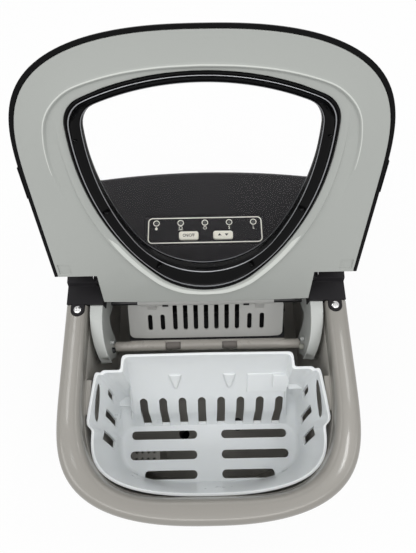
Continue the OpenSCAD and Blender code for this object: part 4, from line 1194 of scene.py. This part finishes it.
    def window_ring(self) -> None:
        """The gloss black ring: a bead, a seam and a hollow band down to the window, with bright trims."""
        fan = Fan(self.centre, 260)
        outer, inner = fan.on(self.ring.points(-0.3)), fan.on(self.clear.points(0.0))
        sections = {
            "gloss_window_ring": (
                (0.0, -10.6), (0.0, -12.6), (0.03, -12.95), (0.07, -13.05), (0.11, -12.9), (0.13, -12.3),
                (0.17, -12.3), (0.2, -13.0), (0.24, -13.3), (0.29, -13.25), (0.33, -12.6), (0.42, -11.5),
                (0.55, -10.4), (0.7, -9.6), (0.83, -9.2), (0.87, -9.6), (0.91, -9.7), (0.94, -9.3),
                (0.97, -7.6), (1.0, -6.35), (0.9, -6.35), (0.6, -8.0), (0.3, -10.6)),
            "ring_inner_trim": ((0.865, -9.7), (0.885, -10.0), (0.915, -10.05), (0.935, -9.75), (0.9, -9.4)),
            "ring_outer_trim": ((0.205, -12.9), (0.215, -13.35), (0.25, -13.5), (0.28, -13.35),
                                (0.29, -12.9)),
        }
        for name, section in sections.items():
            bm = Skin().tube(at_height(part_way(outer, inner, lambda _, share=share: share), z)
                             for share, z in section)
            if name == "gloss_window_ring":
                self.piece(bm, name, PALETTE.gloss_black, ("window_ring",), soften=0.12)
            else:
                self.piece(bm, name, PALETTE.zinc)

    def ring_bosses(self) -> None:
        """Small screw bosses across the ring's hollow, with their screws."""
        bosses, screws, cross = bmesh.new(), bmesh.new(), bmesh.new()
        for x, s in ((sx * x, s) for sx in SIDES for x, s in self.screws):
            turn = Matrix.Rotation(math.atan2(self.centre[1] + s, -x) + math.pi, 3, "Z")
            block(bosses, (-1.8, -1.1, -12.6), (1.8, 1.1, -9.5), turn, (x, -s, 0))
            rod(screws, (x, -s, -12.5), (x, -s, -12.95), 1.0, 24, 0.8)
            for a, b in ((0.7, 0.18), (0.18, 0.7)):
                block(cross, (-a, -b, -13.6), (a, b, -12.75), move=(x, -s, 0))
        self.piece(bosses, "ring_screw_bosses", PALETTE.gloss_black, soften=0.25)
        self.piece(screws, "ring_screw_heads", PALETTE.enamel, ("ring_screws",), soften=0.1, cut=cross)

    def window(self) -> None:
        """The clear window, a thin pane with rounded edges, in its well."""
        for name, finish, rings in (
                ("window_well", PALETTE.gloss_black, ((4.5, -6.2), (4.5, 4.6), (6.0, 4.6), (6.0, -6.2))),
                ("well_edge_line", PALETTE.zinc, ((3.7, 4.9), (3.7, 5.4), (4.3, 5.4), (4.3, 4.9)))):
            self.piece(Skin().tube(at_height(self.clear.points(grow), z) for grow, z in rings), name, finish)
        pane = bmesh.new()
        prism(pane, self.clear.points(4.2), -6.3, -3.8)
        self.piece(pane, "clear_pane", PALETTE.clear, ("lid_window",), "clear", soften=0.3)


# ---------------------------------------------------------------- basket


@dataclass(frozen=True)
class TubRow:
    """The tub's inner face at one height."""

    z: float
    half: float
    start: float
    front: float
    bulge: float
    corner_y: float
    recess_y: float
    recess_half: float
    corner_r: float

    def grown(self, by: float, z: float) -> "TubRow":
        """The row set outwards by a distance, at another height."""
        return TubRow(z, self.half + by, self.start, self.front - by, self.bulge, self.corner_y + by,
                      self.recess_y + by, self.recess_half + by, self.corner_r)

    def points(self) -> Ring:
        """The row's closed outline, always of as many points.

        Returns:
            The outline at the row's height.
        """
        square = 0.3 * between_0_1((245.0 - self.z) / 30.0)
        nose = quarter(self.half, self.start - self.front, 2.5 + square, 3.1 + square, self.start, 36)[::-1]
        rear = self.corner_y - self.corner_r
        swell = [(0.03, 0.08), (0.06, 0.32), (0.09, 0.62), (0.13, 0.86), (0.19, 1.0), (0.35, 0.99),
                 (0.55, 0.96), (0.75, 0.92), (0.93, 0.87), (0.97, 0.82), (1.0, 0.7)]
        side = [(self.half * (1 - 0.04 * u) + self.bulge * b, self.start + (rear - self.start) * u)
                for u, b in swell]
        x0, x1 = side[-1][0], self.half * 0.96 - self.corner_r - 1.2
        turn = [(x0 + (x1 - x0) * k,
                 rear + self.corner_r * math.sin(math.radians(90 * k)) - 0.3 * self.bulge * d)
                for k, d in ((0.2, 0.1), (0.45, 0.7), (0.6, 0.9), (0.8, 0.2), (1.0, 0.0))]
        deep = self.recess_y - self.corner_y
        small, large = (math.copysign(min(r, abs(deep) / 2), deep) for r in (1.6, 3.5))
        x, y0, y1 = self.recess_half, self.corner_y, self.recess_y
        cheek = [(x + 5, y0), (x + 1.6, y0), (x + 0.5, y0 + small * 0.3), (x, y0 + small),
                 (x - 0.3, y1 - large), (x - 1.3, y1 - large * 0.3), (x - 3.8, y1)]
        back = [(x * k, y1 + 0.5 * (1 - k)) for k in (0.75, 0.5, 0.25)]
        half = nose[1:] + side + turn + cheek + back
        return at_height([nose[0], *half, (0.0, y1 + 0.5), *((-x, y) for x, y in reversed(half))], self.z)


@dataclass
class Basket:
    """The lift-out ice basket: a tub with a pouring recess, finger bulges and drain slots."""

    wall: float = 2.0
    floor_z: float = 190.0
    slot_pitch: float = 18.2
    slot_gap: float = 12.0
    rows: tuple[TubRow, ...] = (
        TubRow(192.0, 83.6, -86, -124.9, 0.9, -73.6, -73.6, 79, 4),
        TubRow(192.6, 85.2, -86, -125.5, 0.9, -73.3, -73.3, 78.5, 4),
        TubRow(193.8, 87.0, -86, -126.0, 0.9, -72.2, -72.2, 78, 5),
        TubRow(196.0, 88.2, -85, -126.2, 0.9, -69.6, -70.7, 77, 5),
        TubRow(199.0, 88.6, -85, -126.3, 0.9, -65.0, -69.0, 76, 5),
        TubRow(205.0, 88.7, -85, -126.3, 1.0, -54.5, -67.0, 75, 5),
        TubRow(212.0, 88.8, -84, -126.4, 1.1, -46.5, -64.5, 74, 5),
        TubRow(221.0, 89.0, -84, -126.4, 1.2, -45.0, -61.9, 73, 5),
        TubRow(238.0, 89.6, -83, -126.4, 1.3, -41.9, -47.6, 72, 4.5),
        TubRow(255.0, 90.4, -82, -126.5, 2.1, -38.8, -34.0, 71.6, 4),
        TubRow(270.0, 91.2, -81, -126.5, 3.9, -36.1, -26.9, 71.5, 3),
        TubRow(283.4, 92.1, -80.5, -126.4, 5.5, -33.7, -20.8, 71.4, 2),
    )

    def build(self) -> None:
        """Moulds the tub and its small inner details."""
        low, top = self.rows[0], self.rows[-1]
        rows = [low.grown(by, self.floor_z + up) for by, up in ((-7.0, 0.0), (0.0, 0.0), (2.6, 0.5))]
        rows += [row.grown(self.wall, row.z) for row in self.rows[2:]]
        rows += [top.grown(by, z) for by, z in ((2.35, 284.2), (2.2, 284.8), (1.5, 285.0), (0.7, 285.0),
                                                (0.1, 284.6))]
        tub = Skin().solid(row.points() for row in (*rows, *reversed(self.rows)))
        for x in (-45, 0, 45):
            slit(tub, (x, 0, 0), (1, 0, 0))
        for y in (-92, -111):
            slit(tub, (0, y, 0), (0, 1, 0))
        SHOP.piece(tub, "basket_tub", PALETTE.basket, "basket", "basket_white", ("ice_basket",),
                   cut=self.slots())
        self.details()

    def slots(self) -> Mesh:
        """The drain slots in the floor, the rear wall and the sides, and the finger slots.

        Returns:
            All cutters as one mesh.
        """
        cut = bmesh.new()
        for x in (2.8 + (i - 3.5) * self.slot_pitch for i in range(8)):
            outline = arc((x, 230.6), 3.7, 0, 180, 14) + arc((x - 2.9, 194.0), 1.2, 180, 270, 4)
            self.through(cut, outline + arc((x + 2.9, 194.0), 1.2, 270, 360, 4), 40, 84, UPRIGHT)
        for y, width, end in ((-82.4, 7.9, 77.0), (-101.1, 8.0, 77.8), (-118.9, 7.9, 63.0)):
            for sx in SIDES:
                prism(cut, rounded_box(sx * (self.slot_gap + end) / 2, y, end - self.slot_gap, width,
                                       width / 2 - 0.05), self.floor_z - 3, self.floor_z + 4.5)
        slants = (((-42.7, 257), (-47.5, 238), (-54.4, 235.5), (-48.8, 255.6)),
                  ((-60, 253.5), (-68.9, 213.2), (-75.9, 210), (-66.6, 254)),
                  ((-78.2, 254), (-87, 214.5), (-94.7, 216.2), (-85.8, 260)))
        finger = ((-41.2, 274.6), (-45.4, 270.6), (-53.5, 268.3), (-62.2, 267.6), (-69.8, 268.0),
                  (-72.4, 270.8), (-70.6, 276.2), (-64.7, 280.1), (-56, 281.3), (-48, 280.2), (-43, 278.2))
        for sx in SIDES:
            low, high = sorted((sx * 84, sx * 104))
            for outline in slants:
                self.through(cut, self.softened(outline, 1.5), low, high, SIDEWAYS)
            self.through(cut, self.softened(finger, 1.2), low, high, SIDEWAYS, (3.0, sx * 93.6))
        for x, wide in ((-72.5, 6.5), (-53.0, 4.0), (72.5, 6.5), (53.0, 4.0)):
            self.through(cut, rounded_box(x, 194.4, wide, 3.0, 1.4), 112, 132, UPRIGHT)
        return cut

    def softened(self, corners: Sequence[Point], radius: float) -> Loop:
        """A polygon with each corner cut by a short curve.

        Args:
            corners: The polygon.
            radius: How far from its corner a curve starts.

        Returns:
            The softened outline.
        """
        loop: Loop = []
        for before, here, after in zip(corners[-1:] + corners[:-1], corners, corners[1:] + corners[:1]):
            p = Vector(here)
            start, end = (p + (q - p).normalized() * min(radius, (q - p).length / 3)
                          for q in (Vector(before), Vector(after)))
            for k in (0.0, 0.33, 0.67, 1.0):
                loop.append(tuple(start * (1 - k) ** 2 + p * (2 * k * (1 - k)) + end * k**2))
        return loop

    def through(self, cut: Mesh, outline: Loop, low: float, high: float, turn: Matrix,
                slant: Point = (0.0, 0.0)) -> None:
        """Adds a cutter: an outline extruded from low to high, then turned.

        Args:
            cut: The mesh of all cutters.
            outline: The opening's outline.
            low: Where the extrusion starts.
            high: Where it ends.
            turn: Turns it to its wall.
            slant: How fast the opening drops outwards, and where it has its own height.
        """
        made = bmesh.new()
        prism(made, outline, low, high)
        for vert in made.verts:
            vert.co.y -= slant[0] * (vert.co.z - slant[1]) * math.copysign(1.0, low + high)
        bmesh.ops.transform(made, matrix=turn.to_4x4(), verts=made.verts)
        join(cut, made)

    def details(self) -> None:
        """The moulded pips, the step panel and the corner boxes on the rear wall."""
        bm = bmesh.new()
        lean = Matrix.Rotation(-math.atan2(13.8, 17.5), 3, "X")
        for x in (-29.7, 19.3):
            made = bmesh.ops.create_cone(bm, cap_ends=True, segments=28, radius1=1.6, radius2=6.0,
                                         depth=17)["verts"]
            bmesh.ops.scale(bm, vec=(1, 0.3, 1), verts=made)
            bmesh.ops.rotate(bm, cent=(0, 0, 0), matrix=lean, verts=made)
            bmesh.ops.translate(bm, vec=(x, -37.4, 251.2), verts=made)
        for x0, x1, thick, tall, y, z in ((35.6, 72.6, 1.3, 23.0, -39.3, 248.4),
                                          (58.3, 73.0, 4.2, 14.7, -36.6, 251.8)):
            block(bm, (x0, -thick, -tall / 2), (x1, thick, tall / 2), lean, (0, y, z))
        block(bm, (-90.5, -55.6, 200.0), (-75.2, -40.0, 213.5))
        block(bm, (73.6, -45.4, 238.0), (87.0, -40.0, 242.5))
        SHOP.piece(bm, "basket_details", PALETTE.basket, "basket", "basket_white", soften=0.8, segments=3)


# ---------------------------------------------------------------- side arms, shovel and tray


@dataclass
class SideArms:
    """The two curved arms that carry the tray and the shovel."""

    reach: float = 44.4
    rise: float = 35.5
    spring_y: float = 22.0
    spring_z: float = 261.0
    inner_x: float = 88.8
    outer_x: float = 100.2
    steps: int = 14

    def stations(self) -> list[tuple[float, float, float, float, float]]:
        """The arm's cross-sections along its front edge, then round its back.

        Returns:
            Inner x, crease x, outer x, y and z of each section.
        """
        found = []
        for a in (math.radians(90 + 82 * i / self.steps) for i in range(self.steps + 1)):
            y = self.spring_y + self.reach * math.cos(a)
            drop = max(self.spring_y - y, 0.0) / self.reach
            inner = self.inner_x - 4.2 * drop**3.2
            outer = self.outer_x - 5.2 * drop**2.6
            share = between_0_1((drop - 0.16) / 0.8) ** 1.15
            found.append((inner, outer + (inner + 0.4 - outer) * share, outer, y,
                          self.spring_z + self.rise * math.sin(a)))
        for y, z in ((-20.5, 257.0), (-14.0, 243.0), (-11.0, 230.0), (-2.0, 226.5), (5.0, 230.0),
                     (8.0, 243.0), (10.5, 254.0), (15.5, 264.5), (20.5, 268.0), (26.0, 261.5), (34.0, 256.0),
                     (42.5, 256.0), (42.5, 284.5), (31.0, 285.5)):
            found.append((self.inner_x, self.outer_x, self.outer_x, y, z))
        return found

    def build(self) -> None:
        """Builds both arms, their rounded pivot pips, and the ice sensors: a dark one and a clear one."""
        stations, pips = self.stations(), bmesh.new()
        for name, sx in (("right", 1), ("left", -1)):
            outer = [(sx * o, y, z - 0.62 * (o - c)) for _, c, o, y, z in stations]
            crease = [(sx * c, y, z) for _, c, _, y, z in stations]
            inner = [(sx * (i + 0.5), y, z) for i, _, _, y, z in stations]
            SHOP.piece(Skin().solid((outer, crease, inner)), f"arm_{name}", PALETTE.arm, "housing",
                       "arm_grey", (f"side_arm_{name}",), soften=0.5, segments=3)
            self.peg(pips, sx, -2.4, 259.5, 1.9, 3.4)
        SHOP.piece(pips, "arm_pivot_pips", PALETTE.arm, "housing", "arm_grey")
        for name, sx, finish, nodes in (("dark", -1, PALETTE.enamel, ("ice_sensors",)),
                                        ("clear", 1, PALETTE.lens, ())):
            eye = bmesh.new()
            self.peg(eye, sx, -8.6, 254.0, 2.6, 4.0)
            SHOP.piece(eye, f"ice_sensor_{name}", finish, "housing", "iron_black", nodes)

    def peg(self, bm: Mesh, sx: int, y: float, z: float, radius: float, reach: float) -> None:
        """Adds a round-nosed peg that stands out inwards from one arm.

        Args:
            bm: The mesh.
            sx: Which arm, as 1 or -1.
            y: Where its middle lies along the arm.
            z: How high its middle lies.
            radius: Its radius.
            reach: How far it stands out.
        """
        turns = [math.radians(a) for a in range(0, 360, 15)]
        Skin(bm).solid([(sx * (self.inner_x - reach * out), y + radius * share * math.cos(t),
                         z + radius * share * math.sin(t)) for t in turns]
                       for out, share in ((0.0, 1.0), (0.55, 1.0), (0.72, 0.94), (0.86, 0.76), (0.96, 0.46)))


@dataclass
class Shovel:
    """The slotted plate that pushes finished ice into the basket, hung on its rod by two hooks."""

    axis: Spot = (0.0, 34.5, 263.0)
    tilt: float = 41.5
    left: float = -75.2
    right: float = 73.4
    foot: float = -39.0
    shoulder: float = -3.1
    brow: float = -2.5
    brow_half: float = 63.8
    face: float = -1.2
    thick: float = 2.0
    rod_r: float = 2.5
    slot_w: float = 4.2
    slot_foot: float = -30.4
    tall_xs: tuple[float, ...] = (-30.4, -20.5, -10.6, -0.7, 9.15, 19.0, 28.9)
    short_xs: tuple[float, ...] = (-54.4, -42.4, 40.9, 52.8)
    hook_xs: tuple[float, ...] = (-51.6, 50.1)
    peep_xs: tuple[float, ...] = (-38.8, 37.3)
    bend_x: float = 58.0
    bend: float = 0.09

    def build(self) -> None:
        """Builds the plate, its hooks, and near-black blocks of painted shade in the gaps beside them."""
        low, high = self.face - self.thick, self.face
        place = Matrix.Translation(self.axis) @ Matrix.Rotation(math.radians(self.tilt), 4, "X")
        hooks, bore = self.hooks(low, high)
        SHOP.piece(hooks, "shovel_hooks", PALETTE.works, "shovel", "works_grey", (), place, cut=bore)
        # Painted shade: near-black blocks beside the hooks stand in for the dark seen through the plate's
        # holes there.
        peeps, slots = bmesh.new(), bmesh.new()
        for x in self.peep_xs:
            block(peeps, (x - 2.7, -4.9, low), (x + 2.7, -3.2, high + 0.15))
            block(peeps, (x - 2.7, -3.6, low), (x + 2.7, -1.6, high + 4.3))
        SHOP.piece(peeps, "shovel_peep_shade", PALETTE.painted_gap_shade, "shovel", "works_grey", (), place)
        for xs, top in ((self.tall_xs, -3.6), (self.short_xs, -13.8)):
            for x in xs:
                prism(slots, rounded_box(x, (top + self.slot_foot) / 2, self.slot_w, top - self.slot_foot,
                                         self.slot_w / 2 - 0.05), low - 2, high + 2)
        SHOP.piece(self.plate(low, high), "shovel_plate", PALETTE.works, "shovel", "works_grey",
                   ("ice_shovel",), place, soften=0.3, cut=slots)

    def plate(self, low: float, high: float) -> Mesh:
        """The plate between two levels, with bent ends and a rib along its foot.

        Args:
            low: The plate's rear face.
            high: The plate's front face.

        Returns:
            The plate's mesh.
        """
        brow_half, shoulder = self.brow_half, self.shoulder
        loop = arc((self.right - 5.0, self.foot + 5.0), 5.0, -90, 0, 8)
        loop += arc((self.right - 3.0, shoulder - 3.0), 3.0, 0, 90, 6)
        loop += [(brow_half, shoulder), (brow_half - 0.6, self.brow), (-brow_half - 0.8, self.brow),
                 (-brow_half - 1.4, shoulder)]
        loop += arc((self.left + 3.0, shoulder - 3.0), 3.0, 90, 180, 6)
        loop += arc((self.left + 5.0, self.foot + 5.0), 5.0, 180, 270, 8)
        bm = bmesh.new()
        prism(bm, loop, low, high)
        for x in (-64, -61, -58, 58, 61, 64):
            slit(bm, (x, 0, 0), (1, 0, 0))
        for vert in bm.verts:
            past = max(abs(vert.co.x) - self.bend_x, 0.0)
            vert.co.z -= self.bend * past * min(past / 6.0, 1.0)
        block(bm, (self.left + 9.0, self.foot + 0.4, low - 1.4),
              (self.right - 9.0, self.foot + 2.0, low + 0.2))
        return bm

    def hooks(self, low: float, high: float) -> tuple[Mesh, Mesh]:
        """The two hooks and the sleeve that wrap the rod.

        Args:
            low: The plate's rear face.
            high: The plate's front face.

        Returns:
            The hooks, and the bore that clears the rod.
        """
        hooks, bore = bmesh.new(), bmesh.new()
        sleeve = (sum(self.hook_xs) / 2, self.brow_half, 0.9, self.brow - 1.4, 0.0)
        for x, half, over, leg, proud in (*((x, 3.9, 1.5, -8.6, 0.5) for x in self.hook_xs), sleeve):
            section = arc((0.0, 0.0), self.rod_r + over, -150, 150, 28)
            section += [(leg, high + proud), (leg, low + 0.3)]
            made = bmesh.new()
            prism(made, section, x - half, x + half)
            bmesh.ops.transform(made, matrix=SIDEWAYS.to_4x4(), verts=made.verts)
            join(hooks, made)
        rod(bore, (-self.brow_half - 2.0, 0, 0), (self.brow_half + 2.0, 0, 0), self.rod_r + 0.3, 40)
        return hooks, bore


@dataclass
class Tray:
    """The tipping water tray: its pale front bar, dark necks, and its trough painted dark as shade."""

    # Where the painted shade begins: behind this the tray is split off as the dark trough.
    painted_shade_y: float = 5.0
    spans: tuple[Point, Point] = ((-40.2, -25.3), (13.8, 28.7))
    y: float = -1.9
    z: float = 238.0
    radius: float = 3.5

    def build(self) -> None:
        """Builds the bar, the trough in painted shade and the necks, each neck with a shallow groove at both
        ends.
        """
        # The bar and the trough are one part cut in two; the trough is painted in the dark pan colour as
        # shade, not its own colour.
        for name, finish, side, nodes in (("tray_bar", PALETTE.bar, "clear_outer", ("water_tray",)),
                                          ("tray_trough_painted_shade", PALETTE.pan, "clear_inner", ())):
            bm = SHOP.welded("water_tray")
            slit(bm, (0, self.painted_shade_y, 0), (0, 1, 0), **{side: True})
            SHOP.piece(bm, name, finish, "tray", "works_grey", nodes, soften=0.3)
        necks = bmesh.new()
        for x0, x1 in self.spans:
            profile = ((x0, 0.9), (x0 + 1.2, 0.9), (x0 + 1.6, 1.0), (x1 - 1.6, 1.0), (x1 - 1.2, 0.9),
                       (x1, 0.9))
            Skin(necks).solid([(x, self.y + dy * share, self.z + dz * share)
                               for dy, dz in arc((0.0, 0.0), self.radius, 0, 348.75, 31)]
                              for x, share in profile)
        SHOP.piece(necks, "tray_bar_necks", PALETTE.neck, "tray", "works_grey")


# ---------------------------------------------------------------- rear cover and carried-over nodes


@dataclass
class RearCover:
    """The charcoal hood behind the lid, whose rear edge bows forward at its ends."""

    bow: float = 7.0
    from_y: float = 100.0

    def build(self) -> None:
        """Cuts the hood into strips and draws its rear corners forward."""
        bm = SHOP.welded("rear_top_cover")
        for i in range(-11, 12):
            slit(bm, (i * 10.3, 0, 0), (1, 0, 0))
        for vert in bm.verts:
            share = between_0_1((vert.co.y - self.from_y) / (CASING.rear_y - self.from_y))
            if vert.co.z > 300.0:
                vert.co.y -= self.bow * share * min((vert.co.x / 95.0) ** 2, 1.0)
        SHOP.piece(bm, "charcoal_hood", PALETTE.charcoal, "housing", "charcoal", ("rear_top_cover",),
                   soften=0.35)


@dataclass
class Dressing:
    """Finishes for the CAD nodes whose shape is right as it is.

    Moulded rows hold the finish, body, slot and edge radius of the nodes that follow. Plain
    rows hold a finish and its nodes.
    """

    moulded: tuple[tuple[str, str, str, float, tuple[str, ...]], ...] = (
        ("shell", "housing", "shell_beige", 0.3, ("outer_shell",)),
        ("pan", "housing", "dark_pan", 0.3, ("base_pan",)),
        ("charcoal", "housing", "charcoal", 0.3, ("rear_panel",)),
        ("charcoal", "housing", "panel_print", 0.12, ("control_panel",)),
        ("rubber", "housing", "foot_rubber", 0.4, ("cord_gland",)),
        ("steel", "housing", "steel", 0.15, ("panel_screws", "hinge_pins")),
        ("steel", "housing", "steel", 0.1, ("ear_screws",)),
        ("rubber", "housing", "foot_rubber", 0.6,
         ("foot_front_left", "foot_front_right", "foot_rear_left", "foot_rear_right")),
        ("tank", "housing", "tank_grey", 0.4, ("water_tank", "water_filter")),
        ("rubber", "plug", "foot_rubber", 0.4, ("drain_plug",)),
        ("enamel", "housing", "steel", 0.2, ("shovel_rod",)),
    )
    plain: tuple[tuple[str, tuple[str, ...]], ...] = (
        ("board", ("control_board",)),
        ("foam", ("tank_insulation",)),
        ("zinc", ("tray_motor", "fan_motor")),
        ("pan", ("evaporator_block", "fan_shroud", "fan_blades")),
        ("aluminium", ("freezing_fingers", "condenser")),
        ("enamel", ("compressor", "compressor_terminals", "hot_gas_valve", "water_pump")),
        ("rubber", ("compressor_mounts",)),
        ("copper", ("evaporator_tube", "filter_drier", "discharge_pipe", "suction_pipe", "liquid_pipe",
                    "drier_pipe", "condenser_pipe")),
        ("hose", ("pump_hose",)),
    )

    def build(self) -> None:
        """Dresses every node that the new pieces don't stand for."""
        for finish, body, slot, soften, names in self.moulded:
            for name in names:
                SHOP.piece(SHOP.welded(name), name + "_moulded", getattr(PALETTE, finish), body, slot,
                           (name,), soften=soften)
        for finish, names in self.plain:
            for name in names:
                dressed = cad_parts[name]
                dressed.data.materials.clear()
                dressed.data.materials.append(getattr(PALETTE, finish).material())
                LOG.info("%s: CAD node in %s", name, finish)


# ---------------------------------------------------------------- studio


@dataclass
class Studio:
    """The floor, lights and camera."""

    eye: Spot = (1.4, -90.5, 661.7)
    pitch: float = 69.41
    yaw: float = 0.18
    roll: float = -0.94
    lens: float = 28.84
    aim: Spot = (0, 0, 0.27)
    lamps: tuple[tuple[Spot, Point, float], ...] = (
        ((0.0, -1.0, 2.3), (1.8, 0.5), 9.0),
        ((-1.3, -0.6, 2.0), (0.8, 0.8), 4.5),
        ((1.35, -0.5, 1.9), (0.7, 0.7), 2.5),
        ((0.2, 1.3, 1.6), (1.2, 1.2), 4.0),
        ((-0.49, 0.2, 1.5), (0.06, 0.44), 0.75),
        ((0.494, 0.15, 1.5), (0.06, 0.24), 0.45),
        ((0.44, -0.13, 1.5), (0.05, 0.14), 0.5),
        ((-0.44, -0.14, 1.5), (0.03, 0.05), 0.05),
    )

    def build(self) -> None:
        """Sets the whole studio up."""
        self.floor()
        self.world()
        self.lights()
        self.camera()
        bpy.context.scene.view_settings.view_transform = "Standard"

    def floor(self) -> None:
        """A wide pale floor that the camera sees as white, with the object's shadow."""
        bm = bmesh.new()
        bmesh.ops.create_grid(bm, x_segments=1, y_segments=1, size=6.0)
        sheet = as_object(bm, "studio_floor")
        paint = bpy.data.materials.new("pale floor")
        paint.use_nodes = True
        tree = paint.node_tree
        surface = tree.nodes["Principled BSDF"]
        feed(surface, {"Base Color": (0.86, 0.86, 0.86, 1), "Roughness": 0.9})
        glow = node(tree, "Emission", {"Color": (1, 1, 1, 1)})
        mix = node(tree, "MixShader", {"Fac": self.seen(tree, 0.88), 1: surface.outputs[0],
                                       2: glow.outputs[0]})
        feed(tree.nodes["Material Output"], {"Surface": mix.outputs[0]})
        sheet.data.materials.append(paint)

    def seen(self, tree: Tree, share: float) -> bpy.types.NodeSocket:
        """A mask of camera, glossy and transmission rays, times a share.

        Args:
            tree: The shader's node tree.
            share: What the mask is worth.

        Returns:
            The mask.
        """
        path = node(tree, "LightPath", {}).outputs
        first = maths(tree, "MAXIMUM", path["Is Camera Ray"], path["Is Glossy Ray"])
        return maths(tree, "MULTIPLY", maths(tree, "MAXIMUM", first, path["Is Transmission Ray"]), share)

    def world(self) -> None:
        """A white surround that lights softly and shows white."""
        world = bpy.data.worlds.new("studio")
        bpy.context.scene.world = world
        world.use_nodes = True
        tree = world.node_tree
        feed(tree.nodes["Background"], {"Color": (1, 1, 1, 1), "Strength": maths(
            tree, "MULTIPLY_ADD", self.seen(tree, 1.0), 0.22, 0.78)})

    def lights(self) -> None:
        """Large soft lamps aimed at the object."""
        for i, (place, size, power) in enumerate(self.lamps):
            lamp = bpy.data.lights.new(f"soft_lamp_{i + 1}", "AREA")
            lamp.shape, lamp.size, lamp.size_y, lamp.energy = "RECTANGLE", size[0], size[1], power
            ahead = (Vector(self.aim) - Vector(place)).normalized()
            across = ahead.cross(Vector((0, 1, 0))).normalized()
            shown(lamp.name, lamp).matrix_world = self.stand(Vector(place), ahead, across)

    def stand(self, place: Vector, ahead: Vector, across: Vector) -> Matrix:
        """Where a lamp or a camera stands: its place, the way it looks and the way to its right."""
        return (Matrix.Translation(place)
                @ Matrix((across, across.cross(ahead), -ahead)).transposed().to_4x4())

    def camera(self) -> None:
        """A camera above and in front of the open lid, looking down into the basket."""
        pitch, yaw, roll = (math.radians(a) for a in (self.pitch, self.yaw, self.roll))
        ahead = Vector((math.sin(yaw) * math.cos(pitch), math.cos(yaw) * math.cos(pitch), -math.sin(pitch)))
        right = Vector((math.cos(yaw), -math.sin(yaw), 0))
        across = math.cos(roll) * right + math.sin(roll) * right.cross(ahead)
        lens = bpy.data.cameras.new("studio_camera")
        lens.lens, lens.sensor_width, lens.sensor_fit = self.lens, 36.0, "AUTO"
        lens.clip_start, lens.clip_end = 0.01, 50.0
        made = shown("studio_camera", lens)
        made.matrix_world = self.stand(Vector(self.eye) * MM, ahead, across)
        bpy.context.scene.camera = made


def main() -> None:
    """Builds the studio and every piece of the ice maker."""
    logging.basicConfig(level=logging.INFO, format="%(name)s %(message)s")
    Studio().build()
    for part in (TopFrame(), RearCover(), ControlFace(), Lid(), Basket(), SideArms(), Shovel(), Tray(),
                 Dressing()):
        part.build()


if __name__ == "__main__":
    main()
